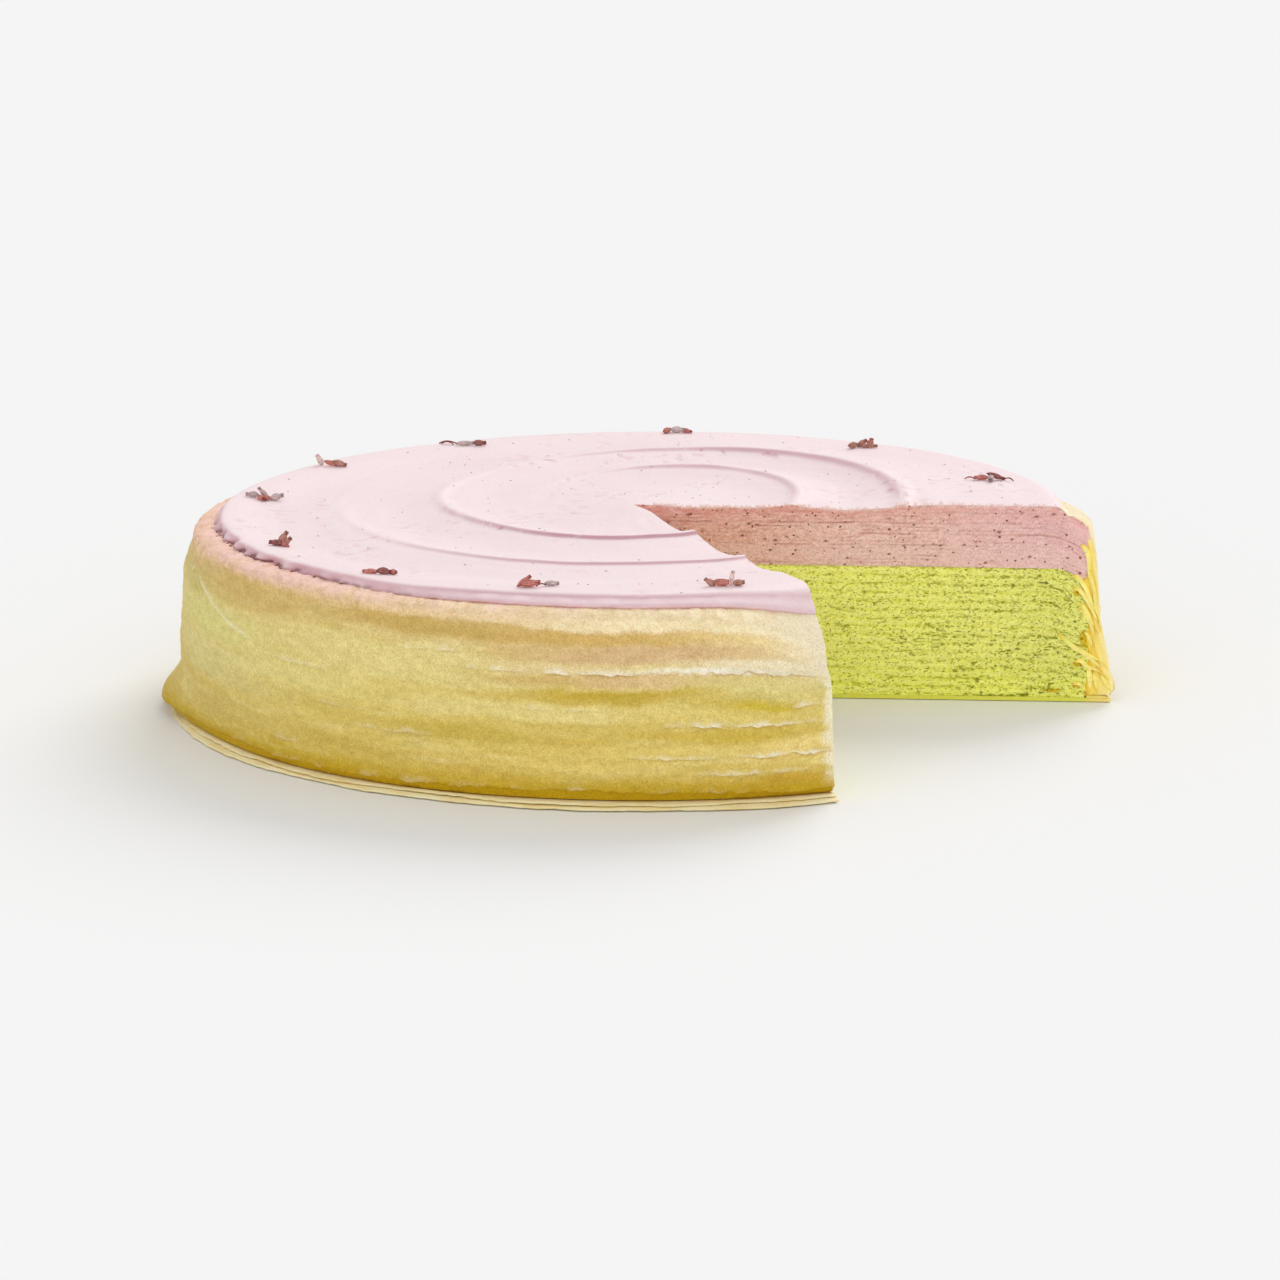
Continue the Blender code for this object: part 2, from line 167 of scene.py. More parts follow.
class Body:
    """Points and faces of one closed body, gathered a sheet at a time."""

    def __init__(self, name):
        self.name = name
        self.points = []
        self.tints = []
        self.quads = []
        self.triangles = []
        self.quad_slots = []
        self.triangle_slots = []
        self.count = 0

    def add(self, points, tints):
        """Keep an array of points, with a linear colour each, and return their numbers."""
        shape = points.shape[:-1]
        size = int(np.prod(shape))
        self.points.append(points.reshape(size, 3))
        self.tints.append(np.broadcast_to(tints, points.shape).reshape(size, 3))
        numbers = np.arange(self.count, self.count + size).reshape(shape)
        self.count += size
        return numbers

    def sheet(self, numbers, slot=0):
        """Quads between neighbouring rows and columns."""
        quads = np.stack([numbers[:-1, :-1], numbers[1:, :-1], numbers[1:, 1:], numbers[:-1, 1:]], -1)
        quads = quads.reshape(-1, 4)
        self.quads.append(quads)
        self.quad_slots.append(np.full(len(quads), slot))

    def stitch(self, first, second, slot=0):
        """Triangles between two rows of points that need not be as many."""
        made = []
        i = 0
        j = 0
        while i < len(first) - 1 or j < len(second) - 1:
            first_share = (i + 1) / (len(first) - 1)
            second_share = (j + 1) / (len(second) - 1)
            if first_share <= second_share:
                made.append((first[i], first[i + 1], second[j]))
                i += 1
            else:
                made.append((first[i], second[j + 1], second[j]))
                j += 1
        self.triangles.append(np.array(made))
        self.triangle_slots.append(np.full(len(made), slot))

    def tube(self, numbers, slot=0):
        """Quads round rows of rings, and a fan over each end ring."""
        self.sheet(np.concatenate([numbers, numbers[:, :1]], 1), slot)
        for ring in (numbers[0], numbers[-1]):
            fan = [(ring[0], ring[i], ring[i + 1]) for i in range(1, len(ring) - 1)]
            self.triangles.append(np.array(fan))
            self.triangle_slots.append(np.full(len(fan), slot))

    def lump(self, points, faces, tint):
        """One small closed solid, given whole."""
        numbers = self.add(points, tint)
        self.triangles.append(numbers[faces])
        self.triangle_slots.append(np.zeros(len(faces), int))

    def finish(self, materials, shape=None, sharp=40.0):
        """Weld the sheets into one closed mesh and make the object."""
        points = np.concatenate(self.points)
        tints = np.concatenate(self.tints)
        grid = np.round(points, 3) + 0.0
        _, first, same = np.unique(grid, axis=0, return_index=True, return_inverse=True)
        same = same.reshape(-1)
        points = points[first]
        tints = tints[first]
        if shape:
            points = shape(points)
        faces = []
        slots = []
        groups = list(zip(self.quads, self.quad_slots)) + list(zip(self.triangles, self.triangle_slots))
        for group, group_slots in groups:
            for face, slot in zip(same[group].tolist(), group_slots.tolist()):
                kept = [n for i, n in enumerate(face) if n != face[i - 1]]
                if len(set(kept)) == len(kept) > 2:
                    faces.append(kept)
                    slots.append(slot)
        mesh = bpy.data.meshes.new(self.name)
        mesh.from_pydata((points * MM).tolist(), [], faces)
        for material in materials:
            mesh.materials.append(material)
        mesh.polygons.foreach_set("material_index", slots)
        attribute = mesh.attributes.new("tint", "FLOAT_COLOR", "POINT")
        colours = np.concatenate([tints, np.ones((len(tints), 1))], 1)
        attribute.data.foreach_set("color", colours.astype(np.float32).ravel())
        closed_outward(mesh)
        mesh.shade_smooth()
        mesh.set_sharp_from_angle(angle=math.radians(sharp))
        obj = bpy.data.objects.new(self.name, mesh)
        bpy.context.scene.collection.objects.link(obj)
        return obj


def closed_outward(mesh):
    """Face every face outward."""
    bm = bmesh.new()
    bm.from_mesh(mesh)
    bmesh.ops.recalc_face_normals(bm, faces=bm.faces)
    bm.to_mesh(mesh)
    bm.free()


def turned_points(angles, radii, heights):
    """Points from angles, radii and heights that broadcast together."""
    angles, radii, heights = np.broadcast_arrays(angles, radii, heights)
    return np.stack([radii * np.cos(angles), radii * np.sin(angles), heights], -1)


def cut_normal(angle):
    """Out of the cake, into the missing wedge."""
    if angle == CUT_RIGHT:
        return np.array([math.sin(angle), -math.cos(angle), 0.0])
    return np.array([-math.sin(angle), math.cos(angle), 0.0])


# --- the shoulder slumps beside the left cut --------------------------------------------------------

SLUMP_ANGLE = math.radians(17)
SLUMP_RADIUS = 95.0
SLUMP_SPAN = 13.5
SLUMP_DROP = 7.2
SLUMP_INWARD = 1.8


def slumped(points):
    x, y, z = points[:, 0], points[:, 1], points[:, 2]
    radius = np.hypot(x, y)
    near = np.clip(1.0 - (CUT_LEFT - kept_angle(x, y)) / SLUMP_ANGLE, 0.0, 1.0) ** 2
    high = smoothstep(24.0, 42.0, z) * near
    out = np.clip((radius - SLUMP_RADIUS) / SLUMP_SPAN, 0.0, 1.15)
    share = 1.0 - SLUMP_INWARD * high * smoothstep(94.0, 104.0, radius) / np.maximum(radius, 1.0)
    return np.stack([x * share, y * share, z - SLUMP_DROP * out ** 2 * high], -1)


# --- colours --------------------------------------------------------------------------------------

CREAM = (246, 225, 227)
# Painted shade on steep slopes and down the rim, partly the cream's deeper pink.
CREAM_PINK_AND_SHADE = (200, 148, 160)
# Painted shade of the rim's side.
CREAM_RIM_SHADE = (230, 200, 204)
# Painted shade under the rim's lip, also on the hidden underside.
CREAM_UNDER_SHADE = (186, 128, 126)
MAUVE = (250, 206, 196)
MAUVE_NEAR_POINT = (240, 182, 162)
MAUVE_LINE = (204, 142, 130)
SPECK_DEPTH = np.array([0.72, 0.86, 0.88])
MAUVE_LIGHT = (252, 224, 214)
SEAM_PINK = (236, 206, 178)
GREEN = (249, 249, 130)
GREEN_DEEP = (243, 246, 106)
GREEN_SHADE = (228, 229, 88)
# Painted shade inside the green's pores.
PORE_SHADE = np.array([0.74, 0.72, 0.95])
# Pale grain, and the painted highlight on each leaf's middle.
GREEN_PALE_AND_HIGHLIGHT = (248, 246, 150)
# Leaf gold in the green's hollows, painted darker as shade.
POCKET_GOLD_IN_SHADE = (226, 190, 16)
GOLD_PALE = (250, 236, 170)
GOLD = (232, 196, 84)
GOLD_DARK = (176, 128, 28)
TORN_PALE = (251, 239, 208)
SKIN_PALE = (255, 240, 202)

# --- materials ------------------------------------------------------------------------------------


def food_material(name, roughness, grain, tone, bump, soft=0.0, soft_radius=1.0, pores=None, dots=None):
    """Colour from the piece's own tint, broken up by a grain that is also the bump.

    The grain's low parts, which the bump sinks, are painted darker as shade in its hollows, partly the crumb's own
    tone. pores and dots are (size in mm, share, what the colour is multiplied by): flat holes painted dark as their
    shade, and round dark spots.
    """
    material = bpy.data.materials.new(name)
    material.use_nodes = True
    nodes = material.node_tree.nodes
    links = material.node_tree.links
    shader = nodes["Principled BSDF"]
    shader.inputs["Roughness"].default_value = roughness
    shader.inputs["Specular IOR Level"].default_value = 0.15
    if soft:
        shader.inputs["Subsurface Weight"].default_value = soft
        shader.inputs["Subsurface Radius"].default_value = (1.0, 0.55, 0.45)
        shader.inputs["Subsurface Scale"].default_value = soft_radius * MM

    def ranged(source, low, high, to_low, to_high):
        node = nodes.new("ShaderNodeMapRange")
        node.inputs["From Min"].default_value = low
        node.inputs["From Max"].default_value = high
        node.inputs["To Min"].default_value = to_low
        node.inputs["To Max"].default_value = to_high
        links.new(source, node.inputs["Value"])
        return node.outputs["Result"]

    def maths(operation, first, second):
        node = nodes.new("ShaderNodeMath")
        node.operation = operation
        for socket, value in zip(node.inputs, (first, second)):
            if isinstance(value, float):
                socket.default_value = value
            else:
                links.new(value, socket)
        return node.outputs["Value"]

    def mixed(blend_type, factor, first, second):
        node = nodes.new("ShaderNodeMix")
        node.data_type = "RGBA"
        node.blend_type = blend_type
        for socket, value in (("Factor", factor), ("A", first), ("B", second)):
            if isinstance(value, (float, tuple)):
                node.inputs[socket].default_value = value
            else:
                links.new(value, node.inputs[socket])
        return node.outputs["Result"]

    def texture(kind, size, flatness):
        stretch = nodes.new("ShaderNodeMapping")
        stretch.inputs["Scale"].default_value = (1.0, 1.0, flatness)
        links.new(place_at.outputs["Object"], stretch.inputs["Vector"])
        node = nodes.new(kind)
        node.inputs["Scale"].default_value = 1.0 / (size * MM)
        links.new(stretch.outputs["Vector"], node.inputs["Vector"])
        return node

    tint = nodes.new("ShaderNodeAttribute")
    tint.attribute_name = "tint"
    place_at = nodes.new("ShaderNodeTexCoord")
    fine = texture("ShaderNodeTexNoise", grain, 1.0)
    fine.inputs["Detail"].default_value = 4.0
    fine.inputs["Roughness"].default_value = 0.65
    height = fine.outputs["Fac"]
    grain_and_hollow_shade = tuple(1.0 - share * tone for share in (1.8, 2.0, 2.7))
    lighter = tuple(2.0 / (1.0 + share) for share in grain_and_hollow_shade)
    colour = mixed("MULTIPLY", 1.0, tint.outputs["Color"], (*lighter, 1.0))
    # Painted shade in the grain's hollows; the whole tint is lightened first to keep its mean.
    colour = mixed("MULTIPLY", ranged(height, 0.3, 0.7, 1.0, 0.0), colour, (*grain_and_hollow_shade, 1.0))
    if pores:
        size, share, dark = pores
        # Painted shade: each pore is a flat patch painted dark and sunk by the bump.
        hole = texture("ShaderNodeTexNoise", size, 2.0)
        hole.inputs["Detail"].default_value = 1.0
        inside = ranged(hole.outputs["Fac"], 0.5 + share, 0.58 + share, 0.0, 1.0)
        colour = mixed("MULTIPLY", inside, colour, (*dark, 1.0))
        height = maths("SUBTRACT", height, inside)
    if dots:
        size, share, dark = dots
        spot = texture("ShaderNodeTexVoronoi", size, 1.2)
        few = texture("ShaderNodeTexNoise", size * 1.1, 1.0)
        smaller = ranged(few.outputs["Fac"], 0.35, 0.65, -0.06, 0.16)
        away = maths("ADD", spot.outputs["Distance"], smaller)
        inside = ranged(away, share, share + 0.06, 1.0, 0.0)
        colour = mixed("MULTIPLY", inside, colour, (*dark, 1.0))
    links.new(colour, shader.inputs["Base Color"])
    relief = nodes.new("ShaderNodeBump")
    relief.inputs["Strength"].default_value = 1.0
    relief.inputs["Distance"].default_value = bump * MM
    links.new(height, relief.inputs["Height"])
    links.new(relief.outputs["Normal"], shader.inputs["Normal"])
    return material


cream_skin = food_material("cream", 0.5, 0.8, 0.028, 0.12, soft=0.2, soft_radius=1.5)
mauve_cut = food_material("mauve_cut", 0.6, 0.4, 0.19, 0.32, soft=0.1, soft_radius=0.6,
                          dots=(1.5, 0.13, (0.30, 0.13, 0.10)))
# The green's pores are painted dark as their shade.
green_cut = food_material("green_cut", 0.6, 0.5, 0.15, 0.32, soft=0.1, soft_radius=0.5,
                          pores=(0.62, 0.12, (0.50, 0.48, 0.14)))
crepe_skin = food_material("crepe", 0.6, 0.42, 0.18, 0.32, soft=0.1, soft_radius=0.8)
crepe_edge = food_material("crepe_edge", 0.55, 0.5, 0.05, 0.1, soft=0.08, soft_radius=0.8)
foot_crepe = food_material("foot_crepe", 0.55, 0.6, 0.06, 0.15, soft=0.15, soft_radius=0.8)
dried_flower = food_material("dried_flower", 0.75, 0.35, 0.3, 0.12)
crumb_skin = food_material("crumb", 0.6, 0.3, 0.08, 0.05)


def place(obj, slot, *nodes):
    if nodes:
        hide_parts(*nodes)
    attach(obj, "root")


# --- top cream ------------------------------------------------------------------------------------

SWIRL_START = 16.4
SWIRL_START_BACK = 16.8
SWIRL_START_RIGHT = 2.1
SWIRL_START_OVAL = -3.1
SWIRL_PITCH = 26.9
SWIRL_PITCH_BACK = -2.8
SWIRL_RIDGES = 3
SWELL_HEIGHT = 1.6
SWELL_WIDTH = 8.5
TROUGH_SHARE = 0.35
LIP_HEIGHT = 0.95
LIP_STEEP = 0.75
LIP_GENTLE = 4.0
WAVE_FREE_RADIUS = 12.0
CUT_CALM_ANGLE = math.radians(13)
CUT_CALM_RISE = 0.7
FADE_ANGLE = math.radians(130)
FADE_WIDTH = math.radians(36)
FADE_DEPTH = 0.75
CREAM_LEVEL = 45.8
CREAM_TILT = 1.1
TILT_ANGLE = math.radians(45)
TILT_RADIUS = 25.0
MIDDLE_RISE = 1.9
MIDDLE_RADIUS = 18.0
RIM_RISE = 1.5
RIM_RISE_RADIUS = 82.0
RIM_RISE_SHIFT = 14.0
RIM_RISE_HALF_WIDTH = 9.0
RIM_ROUND = 1.9
RIM_LEDGE = 1.9
RIM_DRAWN_IN = 1.2
RIM_UNDERCUT = 1.3
RIM_LIP = 43.4
RIM_LIFT = 0.3
RIM_RIGHT_LIP = 45.4
# Down the rim: share of the way out and of the way down, plain and with a ledge.
ROUND_OUT = [(0.0, 0.0), (0.1, 0.28), (0.2, 0.46), (0.35, 0.64), (0.6, 0.88), (0.8, 1.0), (1.0, 1.0)]
ROUND_DOWN = [(0.0, 0.0), (0.1, 0.06), (0.2, 0.17), (0.35, 0.35), (0.6, 0.64), (0.8, 0.84), (1.0, 1.0)]
LEDGE_OUT = [(0.0, 0.0), (0.1, 0.05), (0.25, 0.16), (0.4, 0.5), (0.6, 0.85), (0.75, 1.0), (1.0, 1.0)]
LEDGE_DOWN = [(0.0, 0.0), (0.1, 0.10), (0.25, 0.28), (0.4, 0.36), (0.6, 0.50), (0.75, 0.64), (1.0, 1.0)]
CORNER_HEIGHTS = [38.5, 40.2, 43.6, 46.6, 48.9]
CORNER_RADII = [109.2, 110.0, 108.8, 104.6, 101.0]
KNIFE_SLIT = np.array([-2.2, 0.8])
KNIFE_SLIT_REACH = 4.5
FRONT_FADE = 0.55

CREAM_COLUMNS = 540
CREAM_STATIONS = 140
RIDGE_DENSITY = 3.6
RIDGE_REACH = 2.4
RIM_BENDS = np.linspace(0.0, 1.0, 15)[1:]
CREAM_CAP_ROWS = 22


def swirl_radius(turns, angle):
    start = (SWIRL_START + SWIRL_START_BACK * np.sin(angle)
             + SWIRL_START_RIGHT * np.cos(angle) + SWIRL_START_OVAL * np.cos(2 * angle))
    return start + (SWIRL_PITCH + SWIRL_PITCH_BACK * np.sin(angle)) * turns


def ridge_strength(turn, angle):
    fade = 1.0 - FADE_DEPTH * bell(angle, FADE_ANGLE, FADE_WIDTH)
    if turn == 0:
        return fade * (1.0 - smoothstep(math.radians(70), math.radians(170), angle))
    if turn == 2:
        return fade * 0.8 * smoothstep(math.radians(120), math.radians(260), angle)
    return fade


def ridge_radius(turn, angle):
    return np.minimum(swirl_radius((CUT_LEFT - angle) / math.tau + turn, angle), CREAM_RADIUS - 10.2)


def cream_stations(angle, edge):
    """Radii from the axis to the edge, closer together at the ridges."""
    even = np.linspace(0.0, 1.0, 400)
    made = []
    for one_angle, one_edge in zip(angle[:, 0], edge[:, 0]):
        radius = even * one_edge
        density = np.ones(radius.shape)
        for turn in range(SWIRL_RIDGES):
            density = density + RIDGE_DENSITY * bell(radius, ridge_radius(turn, one_angle), RIDGE_REACH)
        total = np.concatenate([[0.0], np.cumsum((density[1:] + density[:-1]) / 2)])
        made.append(np.interp(np.linspace(0.0, total[-1], CREAM_STATIONS + 1), total, radius))
    return np.array(made)


def cream_waves(radius, angle):
    """The swirl's swell and lip at each point, from 0 to 1."""
    front = (1.0 - np.sin(angle)) / 2
    outer_width = mix(LIP_GENTLE * 0.8, LIP_STEEP, front)
    inner_width = mix(LIP_STEEP * 1.6, LIP_GENTLE, front)
    swell = np.zeros(np.shape(radius))
    lip = np.zeros(np.shape(radius))
    for turn in range(SWIRL_RIDGES):
        strength = ridge_strength(turn, angle)
        away = radius - ridge_radius(turn, angle)
        swell = np.maximum(swell, strength * np.exp(-(away / SWELL_WIDTH) ** 2))
        width = np.where(away > 0, outer_width, inner_width)
        lip = np.maximum(lip, strength * np.exp(-(away / width) ** 2))
    return swell, lip


def cream_height(x, y):
    radius = np.hypot(x, y)
    angle = kept_angle(x, y)
    front = (1.0 - np.sin(angle)) / 2
    swell, lip = cream_waves(radius, angle)
    middle = RIM_RISE_RADIUS - RIM_RISE_SHIFT * np.cos(angle)
    rise = smoothstep(middle - RIM_RISE_HALF_WIDTH, middle + RIM_RISE_HALF_WIDTH, radius)
    tilt = CREAM_TILT * np.cos(angle - TILT_ANGLE) * np.minimum(radius / TILT_RADIUS, 1.0)
    dome = MIDDLE_RISE * np.exp(-(radius / MIDDLE_RADIUS) ** 2)
    trough = TROUGH_SHARE * front * (1.0 - rise)
    wave = SWELL_HEIGHT * (swell - trough) + LIP_HEIGHT * lip
    wave = wave * smoothstep(0.0, WAVE_FREE_RADIUS, radius)
    beside_cut = bell(angle, CUT_RIGHT, CUT_CALM_ANGLE) * smoothstep(6.0, 24.0, radius)
    wave = mix(wave, 0.5 * wave + CUT_CALM_RISE, beside_cut)
    strokes = 0.10 * noise(radius / 5.0, angle * 5.0, seed=11) + 0.05 * noise(radius / 1.7, angle * 9.0, seed=12)
    strokes = strokes * smoothstep(4.0, 16.0, radius)
    return CREAM_LEVEL + RIM_RISE * rise + tilt + dome + wave + strokes


def cream_top(radius, angle):
    """Points on top; the knife's slit draws the middle back from the cut."""
    x = radius * np.cos(angle)
    y = radius * np.sin(angle)
    pull = np.exp(-(radius / KNIFE_SLIT_REACH) ** 2)
    z = cream_height(x, y)
    z = z - 0.16 * cream_pits(x, y)
    return np.stack([x + KNIFE_SLIT[0] * pull, y + KNIFE_SLIT[1] * pull, z], -1)


def cream_pits(x, y):
    """Small flat pits where the spatula skipped, in patches."""
    patch = smoothstep(0.0, 0.5, noise(x / 17.0, y / 17.0, seed=31) + 0.25 * bell(np.hypot(x + 45, y + 8), 0.0, 28.0))
    pits = smoothstep(0.42, 0.66, noise(x / 1.9, y / 1.7, seed=32))
    return pits * patch * smoothstep(3.0, 8.0, np.hypot(x, y))


def cream_tint(points, slope):
    x, y = points[..., 0], points[..., 1]
    tint = np.broadcast_to(linear(CREAM), points.shape).copy()
    patch = rough(x / 22.0, y / 22.0, seed=41)
    tint = blend(tint, (240, 216, 219), np.clip(0.35 * patch + 0.25 * smoothstep(-20, 90, x + y), 0, 0.6))
    # Painted shade in the spatula's pits.
    tint = blend(tint, (232, 200, 204), 0.55 * cream_pits(x, y))
    # Painted shade: steep swirl slopes are tinted darker pink, less at the back and faded at the front near the rim;
    # partly the cream's deeper pink on steep sides.
    back = smoothstep(-10.0, 40.0, y)
    strength = mix(0.85, 0.75, back) * (1.0 - FRONT_FADE * smoothstep(58.0, 76.0, np.hypot(x, y)) * smoothstep(-20.0, -50.0, y))
    return blend(tint, CREAM_PINK_AND_SHADE, smoothstep(0.2, 0.9, slope) * strength)


def drawn_in(angle):
    """How far the cream's rim is drawn in at the left, from 0 to 1."""
    degrees = np.degrees(angle)
    return smoothstep(186.0, 196.0, degrees) * (1.0 - smoothstep(224.0, 240.0, degrees))


def make_cream():
    body = Body("top_cream_swirl")
    angles = np.linspace(CUT_RIGHT, CUT_LEFT, CREAM_COLUMNS + 1)[:, None]
    bottom = MAUVE_TOP + SEAM
    left = bell(angles, LEFT_MIDDLE, LEFT_HALF_WIDTH)
    lobes = noise(angles * 6.0, 3.0, seed=53)
    reach = CREAM_RADIUS + 0.35 * lobes + 0.2 * noise(angles * 15.0, 0.0, seed=54)
    reach = reach - RIM_DRAWN_IN * drawn_in(angles)
    bulge = noise(angles * 17.0, 9.0, seed=66) + 0.4 * noise(angles * 37.0, 9.0, seed=67)
    reach = reach + 0.32 * left * bulge
    ledge = smoothstep(math.radians(232), math.radians(250), angles)
    right = bell(angles, CUT_RIGHT, RIGHT_HALF_WIDTH)
    edge = reach - RIM_ROUND - RIM_LEDGE * np.maximum(ledge, right) + 0.22 * left * bulge
    stations = cream_stations(angles, edge)
    top = cream_top(stations, angles)
    slope = np.gradient(top[..., 2], axis=1) / np.maximum(np.gradient(stations, axis=1), 0.1)
    tops = body.add(top, cream_tint(top, np.abs(slope)))

    # Down over the rim: a round upper edge, a leaning side, and a scalloped lower lip.
    high = top[:, -1:, 2]
    share = np.broadcast_to(RIM_BENDS[None, :], (len(angles), len(RIM_BENDS)))
    scallop = np.abs(noise(angles * 19.0, 0.0, seed=51)) + 0.5 * np.abs(noise(angles * 60.0, 0.0, seed=52))
    scallop = np.clip(scallop, 0.0, 1.0)
    lumps = noise(angles * 27.0, share * 2.0, seed=55) + 0.5 * noise(angles * 60.0, share * 4.0, seed=57)
    lip_low = mix(RIM_LIP + 0.5 * scallop + RIM_LIFT * left, RIM_RIGHT_LIP, right)
    side = np.sqrt(smoothstep(0.0, 1.0, share))
    middle = np.sin(share * math.pi) ** 2
    out = mix(np.interp(share, *zip(*ROUND_OUT)), np.interp(share, *zip(*LEDGE_OUT)), ledge)
    down = mix(np.interp(share, *zip(*ROUND_DOWN)), np.interp(share, *zip(*LEDGE_DOWN)), ledge)
    rim_r = mix(edge, reach, out)
    rim_r = rim_r + 0.4 * left * side + 0.35 * scallop * smoothstep(0.55, 0.85, share)
    rim_r = rim_r + mix(0.12, 0.85, left) * middle * lumps
    rim_r = rim_r - mix(0.3, RIM_UNDERCUT, left) * smoothstep(0.86, 1.0, share)
    rim_z = mix(high, lip_low, down) + 0.35 * left * middle * lumps
    rim = turned_points(angles, rim_r, rim_z)
    # Painted shade down the rim's side: it darkens from the top's colour, with darker blotches lower down.
    rim_tint = blend(np.broadcast_to(linear(CREAM_RIM_SHADE), rim.shape), CREAM, 1.0 - smoothstep(0.02, 0.2, share))
    blotch = rough(angles * 14.0, share * 3.0, seed=56)
    rim_tint = blend(rim_tint, CREAM_PINK_AND_SHADE, np.clip(0.15 + 0.6 * blotch, 0.0, 0.6) * smoothstep(0.15, 0.5, share))
    # Painted highlight on the rim's outward lumps.
    rim_tint = blend(rim_tint, CREAM, np.clip(0.5 * lumps, 0.0, 0.5) * middle)
    # Painted shadow along the ledge's upper edge, fading towards the right cut, and painted light on the ledge below
    # it; towards the right cut the rim is painted paler too.
    paler = ledge * smoothstep(math.radians(262), math.radians(300), angles)
    rim_tint = blend(rim_tint, (216, 174, 186), (0.5 * ledge - 0.25 * paler) * bell(share, 0.18, 0.10))
    rim_tint = blend(rim_tint, (244, 220, 225), 0.6 * ledge * bell(share, 0.55, 0.18))
    rim_tint = blend(rim_tint, CREAM, np.clip(0.25 + 0.5 * blotch, 0.0, 0.6) * paler)
    # Painted shade on the left rim, darker where lumps and bulges sink in.
    lump_shade = np.clip(0.6 - 0.5 * lumps - 0.4 * bulge, 0.1, 0.95)
    rim_tint = blend(rim_tint, (214, 166, 174), left * smoothstep(0.06, 0.3, share) * lump_shade)
    # Painted shadow: a dark, broken line where the left rim meets the shoulder, in the crumbly gap under it.
    meets = SHOULDER_HIGH + SHOULDER_LEFT_RISE * left
    broken = smoothstep(-0.6, 0.3, noise(angles * 60.0, 0.0, seed=58) + 0.5 * noise(angles * 23.0, 3.0, seed=59))
    line = 1.0 - smoothstep(0.25, 0.6 + 0.3 * broken, rim_z - meets)
    rim_tint = blend(rim_tint, (112, 50, 48), 0.9 * line * left * (0.25 + 0.75 * broken))
    # Painted shade at the rim's foot, under its lip.
    rim_tint = blend(rim_tint, CREAM_UNDER_SHADE, 0.35 * smoothstep(0.85, 1.0, share))
    to_skin = np.abs(angles - CUT_RIGHT) / math.radians(9) + 0.12 * noise(angles * 60.0, share * 6.0, seed=60)
    to_skin = (1.0 - smoothstep(0.6, 1.0, to_skin)) * smoothstep(0.05, 0.3, share)
    rim_tint = blend(rim_tint, SKIN_PALE, to_skin)
    rims = body.add(rim, rim_tint)

    # The hidden underside is coarse.
    inner = rim_r[:, -1:] - 0.3
    under = turned_points(angles, inner * np.array([[1.0, 0.6, 0.0]]), bottom)
    unders = body.add(under, linear(CREAM_UNDER_SHADE))

    body.sheet(np.concatenate([tops, rims, unders[:, :1]], 1))
    body.sheet(unders[1:-1])
    for column, towards, cut in ((0, 1, CUT_RIGHT), (-1, -2, CUT_LEFT)):
        upper = np.concatenate([tops[column], rims[column], unders[column, :1]])
        upper_points = np.concatenate([top[column], rim[column], under[column, :1]])
        radii = np.concatenate([stations[column], rim_r[column], inner[column]])
        lower_points = turned_points(cut, np.minimum(radii, inner[column]), bottom)
        shares = np.linspace(0.0, 1.0, CREAM_CAP_ROWS + 1)[:-1, None, None]
        cap = mix(lower_points[None], upper_points[None], shares)
        along = np.hypot(cap[..., 0], cap[..., 1])
        tint, relief = mauve_look(along, cap[..., 2], cut)
        to_edge = upper_points[None, :, 2] - cap[..., 2]
        smear = smoothstep(0.9, 0.0, to_edge + 0.6 * noise(along / 0.8, cap[..., 2] / 0.5, seed=61))
        red = smoothstep(2.6, 0.4, to_edge + 0.8 * noise(along / 1.6, cap[..., 2] / 0.8, seed=62))
        tint = blend(tint, (232, 158, 146), red * mix(0.75, 0.25, smoothstep(20.0, 75.0, along)))
        tint = blend(tint, (250, 222, 218), smear * 0.55)
        tint = skin_over(tint, along, cap[..., 2])
        from_axis = np.hypot(*np.moveaxis(cap[..., :2] - cap[:, :1, :2], -1, 0))
        inside = smoothstep(0.0, 2.0, from_axis) * (shares[..., 0] > 0)
        cap = cap + (relief * inside)[..., None] * cut_normal(cut)
        caps = body.add(cap, tint)
        body.sheet(np.concatenate([caps, upper[None]], 0), slot=1)
        body.stitch(caps[0], unders[towards][::-1])
    obj = body.finish([cream_skin, mauve_cut], slumped, sharp=55.0)
    place(obj, "top_cream", "top_cream")
    return obj


def skin_over(tint, radius, height):
    """The pale skin outside the mauve at a cut's top corner, with a red crumbly line between."""
    edge = np.interp(height, CORNER_HEIGHTS, CORNER_RADII) + 0.35 * noise(radius / 0.9, height / 0.5, seed=63)
    crumbly = noise(radius / 0.5, height / 0.35, seed=64)
    near = bell(radius - edge, -0.25, 0.55) * smoothstep(41.5, 43.0, height)
    tint = blend(tint, (190, 84, 74), np.clip(0.45 + 0.6 * crumbly, 0.0, 0.85) * near)
    return blend(tint, SKIN_PALE, smoothstep(0.0, 0.4, radius - edge) * smoothstep(39.0, 40.5, height))


# --- the two stacks at their cut faces --------------------------------------------------------------

DROOP_RADIUS = 97.0
DROOP_SPAN = 12.0


def droop(radius, height):
    """How far a leaf has sunk below its level towards the rim."""
    out = np.clip((radius - DROOP_RADIUS) / DROOP_SPAN, 0.0, 1.2)
    return out ** 2 * mix(1.0, 5.0, np.clip(height / GREEN_TOP, 0.0, 1.2))


